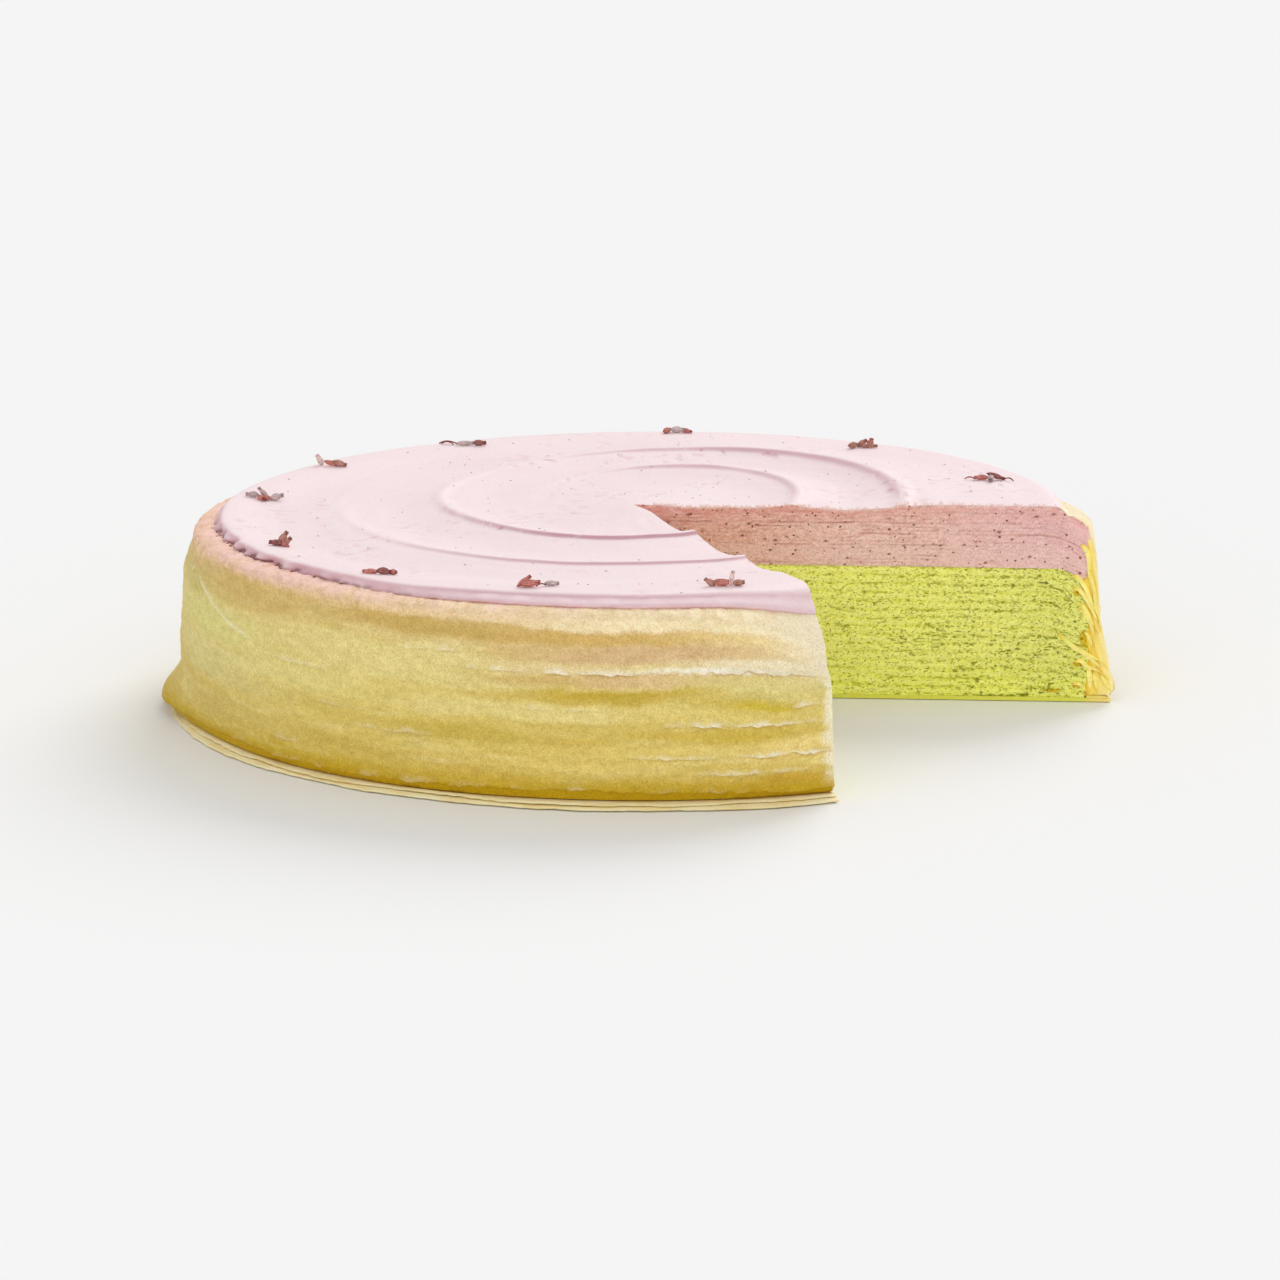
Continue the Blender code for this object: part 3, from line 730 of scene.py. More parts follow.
def mauve_look(radius, height, cut):
    """Tint and relief of the mauve stack where it is cut."""
    seed = 100 if cut == CUT_RIGHT else 200
    level = height + 0.7 * droop(radius, height) + 0.25 * noise(radius / 11.0, height / 4.0, seed=seed)
    leaf = (level - GREEN_TOP) / MAUVE_PITCH
    joint = np.abs(leaf - np.round(leaf)) * MAUVE_PITCH
    line = (1.0 - smoothstep(0.08, 0.35, joint)) * smoothstep(-0.1, 0.7, noise(radius / 7.0, np.round(leaf), seed=seed + 1))
    fine_line = 1.0 - smoothstep(0.05, 0.3, np.abs(leaf * 3 - np.round(leaf * 3)) * MAUVE_PITCH / 3)
    fine_line = fine_line * smoothstep(0.0, 0.7, noise(radius / 5.0, np.round(leaf * 3), seed=seed + 2))
    grain = rough(radius / 0.7, level / 0.35, seed=seed + 3)
    flecks = specks(radius, height, 3.4, 0.4, 0.24, 0.42, seed + 4)
    tint = np.broadcast_to(linear(MAUVE), np.shape(radius) + (3,))
    near_point = 1.0 - smoothstep(15.0, 55.0, radius)
    tint = blend(tint, MAUVE_NEAR_POINT, near_point * 0.9)
    tint = blend(tint, (236, 176, 168), 0.5 * smoothstep(42.5, 45.5, level))
    tint = blend(tint, MAUVE_LIGHT, np.clip(0.85 * grain, 0.0, 0.9))
    tint = blend(tint, MAUVE_LINE, np.clip(-0.9 * grain, 0.0, 0.9))
    tint = blend(tint, (184, 120, 108), np.clip(0.5 * line + 0.35 * fine_line, 0.0, 0.7))
    tint = blend(tint, (238, 190, 194), 0.4 * smoothstep(60.0, 100.0, radius))
    tint = blend(tint, (246, 208, 198), 0.5 * bell(level, GREEN_TOP + 3.4, 1.8))
    tint = blend(tint, SEAM_PINK, 0.6 * (1.0 - smoothstep(0.2, 0.9, level - GREEN_TOP)))
    tint = tint * (1.0 - flecks[..., None] * SPECK_DEPTH)
    relief = 0.12 * grain - 0.14 * line - 0.08 * fine_line - 0.16 * flecks
    return tint, relief


def green_look(radius, height, cut):
    """Tint and relief of the porous green stack where it is cut."""
    seed = 300 if cut == CUT_RIGHT else 400
    wobble = 0.45 * noise(radius / 9.0, height / 5.0, seed=seed) + 0.18 * noise(radius / 2.7, height / 2.0, seed=seed + 9)
    level = height + droop(radius, height) + wobble
    leaf = (level - GREEN_BOTTOM) / GREEN_PITCH
    joint = np.abs(leaf - np.round(leaf)) * GREEN_PITCH
    row = np.round(leaf) * 1.7
    near_joint = 1.0 - smoothstep(0.15, 0.75, joint)
    busy = 0.5 + 0.5 * noise(radius / 7.0, row, seed=seed + 1)
    gap = smoothstep(0.0, 0.6, noise(radius / 2.6, row, seed=seed + 10))
    crack = gap * (1.0 - smoothstep(0.03, 0.20, joint + 0.10 * noise(radius / 0.7, row, seed=seed + 11)))
    small = noise(radius / 0.55, level / 0.30, seed=seed + 2)
    wide = noise(radius / 1.3, level / 0.36, seed=seed + 3)
    holes = smoothstep(0.50, 0.70, small + 0.55 * near_joint * busy - 0.24)
    slots = smoothstep(0.50, 0.68, wide + 0.62 * near_joint * busy - 0.38)
    big = smoothstep(0.60, 0.74, noise(radius / 1.1, level / 0.45, seed=seed + 4))
    big = big * smoothstep(0.3, 0.6, noise(radius / 9.0, level / 3.0, seed=seed + 5))
    pore = np.maximum(np.maximum(holes * 0.6, slots * 0.75), np.maximum(big * 0.85, crack * 0.45))
    inner = 1.0 - smoothstep(60.0, 88.0, radius)
    outer = smoothstep(85.0, 100.0, radius)
    grain = rough(radius / 0.85, level / 0.42, seed=seed + 6)
    patch = rough(radius / 10.0, level / 2.5, seed=seed + 7)
    tint = np.broadcast_to(linear(GREEN), np.shape(radius) + (3,))
    tint = blend(tint, GREEN_DEEP, 0.8 * (1.0 - smoothstep(2.0, 12.0, height)))
    tint = blend(tint, GREEN_PALE_AND_HIGHLIGHT, np.clip(0.8 * grain + 0.2 * patch - 0.1, 0.0, 0.9))
    round_leaf = np.cos(math.tau * leaf)
    tint = blend(tint, GREEN_SHADE, np.clip(-0.75 * grain - 0.2 * patch + 0.2 * near_joint, 0.0, 0.9))
    # Painted highlight on the rounded middle of each leaf.
    tint = blend(tint, GREEN_PALE_AND_HIGHLIGHT, np.clip(-0.3 * round_leaf, 0.0, 0.3))
    # Painted shade in the pores and joint cracks, less towards the axis.
    tint = tint * (1.0 - (pore * (1.0 - 0.35 * inner))[..., None] * PORE_SHADE)
    # Painted light: brighter towards the axis against the shade near the wedge's point, darker towards the rim, and
    # brighter near the bottom.
    painted_light = 1.0 + 0.09 * inner - 0.06 * outer + 0.09 * (1.0 - smoothstep(2.0, 9.0, height))
    tint = np.minimum(tint * painted_light[..., None], 1.0)
    relief = 0.16 * grain - 0.12 * round_leaf - 0.4 * pore
    for middle, level_of, half, half_height in GREEN_POCKETS:
        ragged = 1.0 + 0.25 * noise(radius / 0.7, height / 0.7, seed=seed + 8)
        away = np.hypot((radius - middle) / half, (height - level_of) / half_height) * ragged
        inside = 1.0 - smoothstep(0.7, 1.1, away)
        # Painted shade: the leaf's gold in each hollow is darker.
        tint = blend(tint, POCKET_GOLD_IN_SHADE, inside * 0.85)
        relief = relief - 0.7 * inside
    return tint, relief


# Hollows in the green where a draped leaf goes in: radius, height, half width, half height.
GREEN_POCKETS = [
    (107.0, 27.2, 1.7, 0.8),
    (108.6, 15.4, 1.3, 2.3),
    (107.6, 9.3, 1.9, 0.6),
    (106.8, 4.0, 1.3, 0.6),
    (101.0, 2.6, 2.4, 0.4),
]
MAUVE_UPPER = [(0.0, 0.0), (105.0, 0.0), (107.4, -0.3), (108.4, -1.1), (108.8, -2.6), (108.9, -8.0), (108.7, -12.2)]
MAUVE_LOWER = [(0.0, 0.0), (102.0, 0.0), (104.6, -0.8), (106.4, -1.8), (107.4, -2.3), (107.8, -2.4), (108.0, -2.4)]
GREEN_EDGE_HEIGHTS = [1.0, 8.4, 19.0, 26.0, 30.6, 32.2, 33.15]
GREEN_EDGE_RADII = [108.7, 109.5, 109.4, 108.5, 107.0, 104.9, 102.4]


def along_line(points, shares):
    """Points at these shares of a polyline's length."""
    points = np.array(points, float)
    lengths = np.concatenate([[0.0], np.cumsum(np.hypot(*np.diff(points, axis=0).T))])
    where = shares * lengths[-1]
    return np.stack([np.interp(where, lengths, points[:, i]) for i in range(2)], -1)


def make_stack(name, sections, look, material, slot, coarse):
    """A stack between its two cut faces.

    sections has a grid of (radius, height) for each cut face, axis first and bottom first.
    """
    body = Body(name)
    edges = [edges_of(section) for section in sections]
    few = [edge[np.linspace(0, len(edge) - 1, count).round().astype(int)] for edge, count in zip(edges[0], (30, 9, 30))]
    ring = np.concatenate([few[0], few[1][1:], few[2][1:]])
    corners = np.cumsum([0, 29, 8, 29])
    angles = np.linspace(CUT_RIGHT, CUT_LEFT, coarse + 1)[1:-1, None]
    tint, _ = look(ring[:, 0], ring[:, 1], CUT_RIGHT)
    numbers = body.add(turned_points(angles, ring[None, :, 0], ring[None, :, 1]), tint[None])
    body.sheet(numbers)
    for section, cut, nearest in zip(sections, (CUT_RIGHT, CUT_LEFT), (0, -1)):
        radius, height = section[..., 0], section[..., 1]
        tint, relief = look(radius, height, cut)
        relief = relief * smoothstep(0.0, 2.0, radius)
        cap = body.add(turned_points(cut, radius, height) + relief[..., None] * cut_normal(cut), tint)
        body.sheet(cap)
        for edge, start, end in zip(edges_of(cap), corners, corners[1:]):
            body.stitch(edge, numbers[nearest][start:end + 1])
    obj = body.finish([material], slumped, sharp=60.0)
    place(obj, slot, slot)
    return obj


def edges_of(grid):
    """The bottom edge outward, the outer edge up and the top edge inward."""
    return grid[0], grid[:, -1], grid[-1, ::-1]


def mauve_section(rows, columns):
    shares = np.linspace(0.0, 1.0, columns)
    upper = along_line(MAUVE_UPPER, shares) + [0.0, MAUVE_TOP]
    lower = along_line(MAUVE_LOWER, shares) + [0.0, GREEN_TOP + SEAM]
    return mix(lower[None], upper[None], np.linspace(0.0, 1.0, rows)[:, None, None])


def green_section(rows, columns):
    heights = np.broadcast_to(np.linspace(GREEN_BOTTOM - 0.2, GREEN_TOP, rows)[:, None], (rows, columns))
    reach = np.interp(heights, GREEN_EDGE_HEIGHTS, GREEN_EDGE_RADII)
    return np.stack([reach * np.linspace(0.0, 1.0, columns), heights], -1)


def make_mauve():
    sections = (mauve_section(52, 350), mauve_section(52, 250))
    return make_stack("mauve_layers_cut", sections, mauve_look, mauve_cut, "mauve_layers", 72)


def make_green():
    sections = (green_section(150, 410), green_section(150, 190))
    return make_stack("green_layers_cut", sections, green_look, green_cut, "green_layers", 72)


# --- draped outer crepes ------------------------------------------------------------------------------

FRONT_START = math.radians(232)
BACK_COLUMNS = 470
FRONT_COLUMNS = 290
SHOULDER_ROWS = 10
LEAF_ROWS = 7
SHOULDER_START = 103.2
SHOULDER_LOW = 41.2
SHOULDER_HIGH = 43.9
SHOULDER_LEFT_RISE = 0.45
SHOULDER_RIGHT_RISE = 2.5
CAP_ROWS = 16
END_RECESS = 0.9

# Where a draped leaf's end is torn: height, then arcs of angle, half width, stand and raggedness.
LEAF_ENDS = [
    (37.6, [(196, 5, 0.25, 0.3)]),
    (33.9, [(244, 5, 0.28, 0.3)]),
    (30.1, [(281, 13, 1.15, 1.4), (266, 8, 0.70, 0.6), (254, 6, 0.35, 0.3)]),
    (26.0, [(226, 5, 0.25, 0.3)]),
    (22.0, [(288, 3, 0.35, 0.6), (258, 8, 0.22, 0.3)]),
    (18.2, [(282, 8, 0.55, 0.9), (232, 6, 0.2, 0.3)]),
    (14.3, [(240, 7, 0.22, 0.4)]),
    (11.0, [(287, 5, 0.60, 1.0), (274, 6, 0.3, 0.5)]),
    (7.2, [(283, 6, 0.40, 0.7), (222, 8, 0.2, 0.3)]),
    (3.6, [(250, 60, 0.16, 0.8)]),
]
BACK_TEAR = 0.45

FLAP_ANGLE = math.radians(187)
FLAP_HALF_WIDTH = math.radians(12)
FLAP_FLARE = 4.4
END_FLARE = 2.4

WALL_STOPS = [
    (0.0, (214, 190, 116)),
    # From 2.2 to 5.2 mm: painted shade, a dark gold crease where the wall tucks in above the foot.
    (2.2, (214, 180, 64)),
    (3.5, (196, 160, 20)),
    (5.2, (206, 174, 58)),
    (7.5, (222, 194, 98)),
    (11.0, (228, 203, 112)),
    (16.0, (224, 198, 104)),
    (22.0, (232, 211, 126)),
    (28.0, (232, 212, 134)),
    (34.0, (231, 210, 134)),
    (38.0, (222, 192, 122)),
    (41.0, (234, 197, 146)),
    (43.0, (249, 206, 174)),
    (44.4, (255, 211, 194)),
    (46.0, (255, 210, 206)),
]

# Patches of another colour on the side: angle, height, half width, half height, colour, strength.
WALL_PATCHES = [
    (276, 42.3, 30, 2.2, (255, 236, 190), 0.9),
    (252, 43.2, 14, 1.2, (250, 220, 176), 0.7),
    # The patch below is partly the crepes' pale edge, partly painted light on the corner beside the left cut.
    (288, 40.0, 8, 5.5, (255, 238, 196), 0.85),
    (264, 38.7, 13, 1.5, (222, 184, 106), 0.85),
    (285, 37.8, 8, 2.4, (250, 220, 150), 0.7),
    (270, 35.0, 15, 2.3, (224, 186, 140), 0.85),
    (284, 32.4, 9, 1.7, (253, 238, 206), 0.85),
    (280, 30.9, 12, 0.7, (255, 248, 228), 0.85),
    (262, 31.4, 9, 1.4, (238, 214, 160), 0.8),
    (272, 28.6, 9, 1.7, (230, 190, 146), 0.85),
    (258, 28.4, 9, 1.4, (212, 178, 104), 0.7),
    (244, 38.8, 18, 1.6, (208, 174, 96), 0.85),
    (286, 26.6, 11, 2.8, (228, 214, 138), 0.9),
    (268, 24.8, 15, 1.5, (206, 174, 58), 0.9),
    (283, 23.0, 4, 1.4, (212, 186, 44), 0.75),
    (238, 30.5, 12, 4.0, (238, 222, 148), 0.7),
    (258, 20.8, 14, 1.7, (240, 222, 146), 0.8),
    (280, 20.4, 9, 1.2, (232, 208, 116), 0.7),
    (280, 16.4, 11, 1.2, (212, 182, 70), 0.7),
    (246, 15.2, 10, 1.8, (210, 184, 84), 0.8),
    (270, 13.0, 12, 1.4, (234, 208, 116), 0.7),
    (226, 24.0, 9, 3.0, (236, 222, 142), 0.7),
    (205, 30.0, 14, 4.0, (226, 216, 132), 0.8),
    (205, 20.0, 16, 5.0, (224, 210, 140), 0.7),
    (214, 40.0, 22, 2.2, (214, 182, 104), 0.8),
    (196, 36.0, 8, 3.0, (210, 194, 108), 0.6),
    (232, 9.0, 12, 1.6, (208, 178, 80), 0.6),
    (288, 12.8, 6, 2.4, (244, 218, 138), 0.85),
    (287, 5.8, 3.5, 0.9, (208, 168, 56), 0.8),
    (262, 9.6, 14, 1.2, (236, 210, 120), 0.7),
    (205, 10.0, 22, 3.5, (214, 188, 104), 0.6),
]
DRAG_MARK = np.array([(199.0, 37.5), (204.0, 34.8), (209.0, 31.4), (216.0, 28.6)])


def wall_radius(angle, height):
    """The side without its leaf ends: a flared foot, nearly upright, then a round shoulder."""
    foot = 0.9 * (1.0 - smoothstep(2.0, 10.0, height))
    lean = 1.5 * smoothstep(8.0, 36.0, height)
    shoulder = 1.1 * smoothstep(33.0, 43.0, height)
    swell = 0.35 * np.sin(2 * angle + 0.8) + 0.2 * np.sin(5 * angle + 1.3)
    left = 0.9 * bell(angle, math.radians(192), math.radians(30)) * smoothstep(6.0, 20.0, height)
    left = left * (1.0 - 1.7 * smoothstep(34.0, 42.0, height))
    flap = FLAP_FLARE * bell(angle, FLAP_ANGLE, FLAP_HALF_WIDTH) * (1.0 - smoothstep(4.0, 11.5, height))
    end = END_FLARE * bell(angle, CUT_RIGHT, math.radians(5)) * (1.0 - smoothstep(2.0, 24.0, height))
    return WALL_RADIUS + foot - lean - shoulder + swell + left + flap + end


def leaf_end(spec, number, angle):
    """Height, stand and tear of one leaf's end round the cake."""
    height, arcs = spec
    degrees = np.degrees(angle)
    back = BACK_TEAR * smoothstep(0.45, 0.9, noise(angle * 3.1, number * 9.7, seed=75))
    back = back * (1.0 - smoothstep(170.0, 190.0, degrees))
    stand = 0.5 * back
    ragged = 0.7 * back
    for arc, half_width, proud, rag in arcs:
        near = bell(degrees, arc, half_width)
        stand = np.maximum(stand, proud * near)
        ragged = np.maximum(ragged, rag * near)
    wave = 0.8 * noise(angle * 2.2, number * 7.1, seed=71) + 0.35 * noise(angle * 7.0, number * 3.3, seed=72)
    tatter = noise(angle * 45.0, number * 5.7, seed=73) + 0.7 * noise(angle * 130.0, number, seed=74)
    broken = smoothstep(-0.5, 0.1, noise(angle * 26.0, number * 4.1, seed=77))
    stand = stand * (1.0 + 0.4 * noise(angle * 30.0, number * 2.1, seed=76)) * mix(0.25, 1.0, broken)
    return height + wave * 0.6 + 0.5 * ragged * tatter, stand, np.clip(stand * 2.6 - 0.25, 0.0, 1.0)


def drag_mark(angle, height):
    """A thin pale line, dragged down the left side."""
    degrees = np.degrees(angle)
    line = np.interp(degrees, DRAG_MARK[:, 0], DRAG_MARK[:, 1])
    within = smoothstep(198.0, 201.0, degrees) * (1.0 - smoothstep(213.0, 217.0, degrees))
    return within * bell(height, line + 0.15 * noise(angle * 70.0, 0.0, seed=85), 0.35)


def wall_tint(angle, height, seed=81):
    degrees = np.degrees(angle)
    warp = 1.0 * noise(angle * 5.0, height / 7.0, seed=78) + 0.5 * noise(angle * 16.0, height / 2.5, seed=79)
    level = height + warp * smoothstep(4.0, 9.0, height) * (1.0 - smoothstep(40.0, 43.5, height))
    level = level + 1.3 * rough(angle * 38.0, height / 1.6, seed=82) * smoothstep(40.0, 42.5, height)
    heights = [stop[0] for stop in WALL_STOPS]
    colours = linear([stop[1] for stop in WALL_STOPS])
    tint = np.stack([np.interp(level, heights, colours[:, i]) for i in range(3)], -1)
    body_part = smoothstep(3.0, 6.0, height) * (1.0 - smoothstep(40.0, 44.0, height))
    streak = rough(angle * 7.0, level / 1.5, seed=seed)
    tint = blend(tint, (208, 174, 70), np.clip(0.42 * streak, 0.0, 0.5) * body_part)
    tint = blend(tint, (246, 232, 170), np.clip(-0.5 * streak, 0.0, 0.55) * body_part)
    sway = 3.0 * noise(angle * 9.0, height / 3.0, seed=80)
    level = level + 0.45 * rough(angle * 50.0, height / 1.2, seed=83) * body_part
    for arc, middle, half_width, half_height, colour, strength in WALL_PATCHES:
        away = np.abs(level - middle) / half_height
        share = strength * bell(degrees + sway, arc, half_width) * (1.0 - smoothstep(0.55, 1.35, away))
        tint = blend(tint, colour, share * (1.0 + 0.25 * streak))
    brushed = rough(angle * 45.0, level / 0.7, seed=seed + 3)
    tint = tint * (1.0 + brushed[..., None] * [0.09, 0.10, 0.15])
    mottle = rough(angle * 112.0 / 1.0, height / 0.8, seed=seed + 5)
    tint = tint * (1.03 + mottle[..., None] * [0.09, 0.11, 0.18])
    back = 1.0 - smoothstep(math.radians(150), math.radians(185), angle)
    pinkish = rough(angle * 3.0, level / 3.0, seed=seed + 9)
    tint = blend(tint, (220, 180, 122), np.clip(0.5 * pinkish * back, 0.0, 0.5) * body_part)
    tint = blend(tint, (250, 242, 206), 0.8 * drag_mark(angle, height))
    # Pale near both cuts and up the left cut's corner: partly the crepes' pale cut edge, partly painted light.
    from_cut = np.minimum(CUT_LEFT - angle, angle - CUT_RIGHT) * WALL_RADIUS
    pale = 1.0 - smoothstep(0.3, 3.2, from_cut + 1.2 * noise(height / 1.5, angle * 50.0, seed=86))
    right = bell(angle, CUT_RIGHT, math.radians(30)) * smoothstep(39.0, 42.0, height)
    tint = blend(tint, (254, 238, 192), 0.9 * right)
    tint = blend(tint, (255, 245, 210), 0.9 * pale * smoothstep(2.0, 9.0, height))
    corner = bell(angle, CUT_LEFT, math.radians(5.5)) * smoothstep(24.0, 36.0, height)
    return blend(tint, (255, 240, 208), 0.8 * corner)


def make_wall():
    body = Body("draped_crepes")
    behind = np.linspace(CUT_RIGHT, FRONT_START, BACK_COLUMNS + 1)[:-1]
    angle = np.concatenate([behind, np.linspace(FRONT_START, CUT_LEFT, FRONT_COLUMNS + 1)])[:, None]
    left = bell(angle, LEFT_MIDDLE, LEFT_HALF_WIDTH)

    # Shoulder rows, from under the cream's rim outward, squarer on the left.
    bend = np.linspace(0.0, math.pi / 2, SHOULDER_ROWS)[None, :]
    square = mix(0.75, 0.66, left)
    right = bell(angle, CUT_RIGHT, RIGHT_HALF_WIDTH)
    rise = SHOULDER_HIGH + SHOULDER_LEFT_RISE * left + SHOULDER_RIGHT_RISE * right - SHOULDER_LOW
    crumbly = rough(angle * 95.0, bend * 6.0, seed=91) * np.sin(bend * 2) ** 0.5 * mix(0.35, 0.85, left)
    start = SHOULDER_START - RIM_DRAWN_IN * drawn_in(angle)
    reach = wall_radius(angle, SHOULDER_LOW) - start
    radii = [start + reach * np.sin(bend) ** square + crumbly * 0.4]
    heights = [SHOULDER_LOW + rise * np.cos(bend) ** square + crumbly]
    tints = [wall_tint(angle + 0 * bend, heights[0])]
    upper = np.full(angle.shape, SHOULDER_LOW)
    for number, spec in enumerate(LEAF_ENDS):
        end, stand, torn = leaf_end(spec, number, angle)
        share = np.linspace(0.0, 1.0, LEAF_ROWS + 1)[None, 1:]
        rows = mix(upper, end, share)
        wrinkle = 0.22 * rough(angle * 11.0, rows / 2.6, seed=92) + 0.10 * rough(angle * 75.0, rows / 0.9, seed=93)
        wrinkle = wrinkle + 0.12 * drag_mark(angle, rows)
        radii.append(wall_radius(angle, rows) + wrinkle + stand * share ** 2)
        heights.append(rows)
        tint = wall_tint(angle + 0 * rows, rows)
        tip = smoothstep(0.62, 1.0, share + 0.16 * noise(angle * 80.0, number * 3.0, seed=94))
        tints.append(blend(tint, TORN_PALE, tip * torn * 0.95))
        below = end + np.array([[-0.10, 0.10]]) * np.minimum(stand * 5.0, 1.0) - np.array([[0.02, 0.04]])
        tuck = np.concatenate([stand - np.minimum(0.3, 0.6 * stand), 0.1 * stand], 1)
        last = wrinkle[:, -1:]
        radii.append(wall_radius(angle, end) + last + tuck)
        heights.append(below)
        # Painted shadow on the wall just under a torn leaf end that stands off it.
        shaded = wall_tint(angle + 0 * below, below)
        tints.append(blend(shaded, (196, 150, 60), torn * np.array([[0.6, 0.6]])))
        upper = end - 0.30

    # Under the lowest leaf the wall turns in to the foot, painted dark gold as the shade in the tuck.
    foot = mix(upper, np.full(angle.shape, 1.7), np.array([[0.0, 0.5, 1.0]]))
    flap = FLAP_FLARE * bell(angle, FLAP_ANGLE, FLAP_HALF_WIDTH)
    radii.append(wall_radius(angle, foot) - np.array([[0.3, 0.9, 1.2]]) - 0.25 * flap)
    heights.append(foot)
    tints.append(np.broadcast_to(linear((204, 168, 24)), foot.shape + (3,)))

    radii = np.concatenate(radii, 1)
    heights = np.concatenate(heights, 1)
    tints = np.concatenate(tints, 1)
    outer = body.add(turned_points(angle, radii, heights), tints)
    body.sheet(outer)

    # The hidden inner side, from the foot up to the shoulder's start.
    inner_z = np.array([[1.3, 12.0, 24.0, 31.0, 38.0, 42.0, 43.2]])
    inner_r = np.array([[108.4, 109.2, 108.6, 107.6, 107.6, 106.2, 0.0]])
    inner = body.add(turned_points(angle, np.where(inner_r > 0, inner_r, start - 0.6), inner_z), linear(GOLD))
    body.sheet(inner[1:-1])
    body.sheet(np.stack([outer[:, -1], inner[:, 0]], 1))
    body.sheet(np.stack([inner[:, -1], outer[:, 0]], 1))

    # Both cut ends: the skin is flush, and behind it the wall is set back in folds.
    for column, towards, cut in ((0, 1, CUT_RIGHT), (-1, -2, CUT_LEFT)):
        near = outer[column][::-1]
        rows_r = radii[column][::-1]
        rows_z = heights[column][::-1]
        inside_r = np.interp(rows_z, inner_z[0], np.where(inner_r[0] > 0, inner_r[0], SHOULDER_START - 0.6))
        inside_z = np.maximum.accumulate(np.clip(rows_z, inner_z[0, 0], inner_z[0, -1]))
        inside_z = inside_z + 0.003 * np.arange(len(inside_z))
        share = np.linspace(0.0, 1.0, CAP_ROWS + 1)[None, :-1]
        cap_r = mix(inside_r[:, None], rows_r[:, None], share)
        cap_z = mix(inside_z[:, None], rows_z[:, None], share)
        folds = np.cos(math.tau * (share * 3.0 + cap_z / 9.0)) + 0.4 * noise(cap_r * 2.0, cap_z / 2.0, seed=96)
        depth = END_RECESS * (0.65 - 0.25 * folds) * (1.0 - smoothstep(0.70, 1.0, share))
        depth = depth * (1.0 - smoothstep(39.0, 41.5, cap_z))
        cap_points = turned_points(cut, cap_r, cap_z) - depth[..., None] * cut_normal(cut)
        cap_tint = blend(np.broadcast_to(linear(LEAF_GOLD), cap_points.shape), LEAF_PALE, 0.9 * share ** 1.5 + 0 * cap_z)
        # Painted shade: deeper gold where the folds are set further back.
        cap_tint = blend(cap_tint, LEAF_GOLD_IN_SHADE, np.clip(0.2 - 0.4 * folds, 0.0, 0.5) * (1.0 - share))
        high = smoothstep(38.0, 43.0, cap_z)
        cap_tint = blend(cap_tint, (255, 236, 200), 0.8 * high)
        mauve_tint, _ = mauve_look(cap_r, cap_z, cut)
        mauve_tint = skin_over(mauve_tint, cap_r, cap_z)
        cap_tint = mix(cap_tint, mauve_tint, smoothstep(40.0, 41.5, cap_z)[..., None])
        cap = body.add(cap_points, cap_tint)
        body.sheet(np.concatenate([cap, near[:, None]], 1), slot=1)
        body.stitch(cap[:, 0], inner[towards])
        body.stitch(np.array([near[0], *cap[0, ::-1]]), np.array([inner[column, 0], inner[towards, 0]]))
        body.stitch(np.array([near[-1], *cap[-1, ::-1]]), np.array([inner[column, -1], inner[towards, -1]]))
    obj = body.finish([crepe_skin, crepe_edge], slumped, sharp=60.0)
    place(obj, "outer_crepes", "outer_crepes")
    return obj


# --- leaf ends at the cut faces -----------------------------------------------------------------------

LEAF_PALE = (255, 244, 190)
LEAF_LIGHT = (255, 240, 146)
LEAF_GOLD = (255, 228, 92)
# Leaf gold painted darker as shade, where the leaves are set back.
LEAF_GOLD_IN_SHADE = (238, 196, 30)
LEAF_DEPTH = 4.0

# Each leaf's end on the cut plane, as (radius, height) points, then its thickness and how far it
# stands out of the plane.
FAN_LEAVES = [
    ([(107.3, 39.2), (108.5, 38.0), (109.3, 35.7), (109.4, 31.5), (110.6, 27.0)], 0.55, 0.10),
    ([(105.4, 31.4), (106.9, 30.9), (108.7, 28.2), (110.5, 24.0), (112.8, 19.0)], 0.50, 0.25),
    ([(109.6, 33.0), (110.6, 28.5), (112.0, 23.0), (113.0, 18.0)], 0.40, -0.10),
    ([(105.5, 27.8), (107.0, 28.1), (109.0, 25.4), (111.2, 21.2), (112.6, 17.5)], 0.45, 0.20),
    ([(107.4, 24.8), (108.6, 23.2), (110.0, 20.6), (111.8, 17.2)], 0.45, 0.30),
    ([(107.4, 23.4), (108.7, 21.6), (110.0, 19.4), (110.8, 17.0), (111.3, 13.0)], 0.35, 0.15),
    ([(108.4, 17.6), (109.4, 16.6), (110.2, 14.6), (110.5, 12.0)], 0.35, -0.10),
    ([(102.2, 17.0), (104.4, 15.0), (106.9, 13.1), (109.4, 11.9), (112.2, 10.4), (114.2, 8.4)], 0.50, 0.30),
    ([(107.5, 12.4), (109.5, 11.2), (111.8, 9.4), (113.4, 7.4)], 0.40, 0.20),
    ([(106.2, 10.0), (107.8, 10.2), (109.4, 8.8), (111.6, 8.0), (114.8, 5.8)], 0.45, 0.25),
    ([(109.6, 8.6), (110.1, 5.5), (110.0, 2.0)], 0.60, 0.00),
    ([(111.0, 7.6), (111.6, 4.8), (112.0, 2.0)], 0.50, -0.20),
    ([(112.6, 7.0), (114.2, 4.6), (115.4, 2.4)], 0.40, 0.10),
    ([(105.8, 4.2), (107.2, 4.5), (108.6, 3.4), (109.6, 2.0)], 0.35, 0.10),
]


def curve_through(points, steps):
    """Points on a smooth curve through these ones."""
    points = np.array(points, float)
    padded = np.concatenate([2 * points[:1] - points[1:2], points, 2 * points[-1:] - points[-2:-1]])
    made = []
    for i in range(len(points) - 1):
        a, b, c, d = padded[i:i + 4]
        t = np.linspace(0.0, 1.0, steps, endpoint=False)[:, None]
        made.append(0.5 * (2 * b + (c - a) * t + (2 * a - 5 * b + 4 * c - d) * t ** 2
                           + (3 * b - a - 3 * c + d) * t ** 3))
    return np.concatenate(made + [points[-1:]])


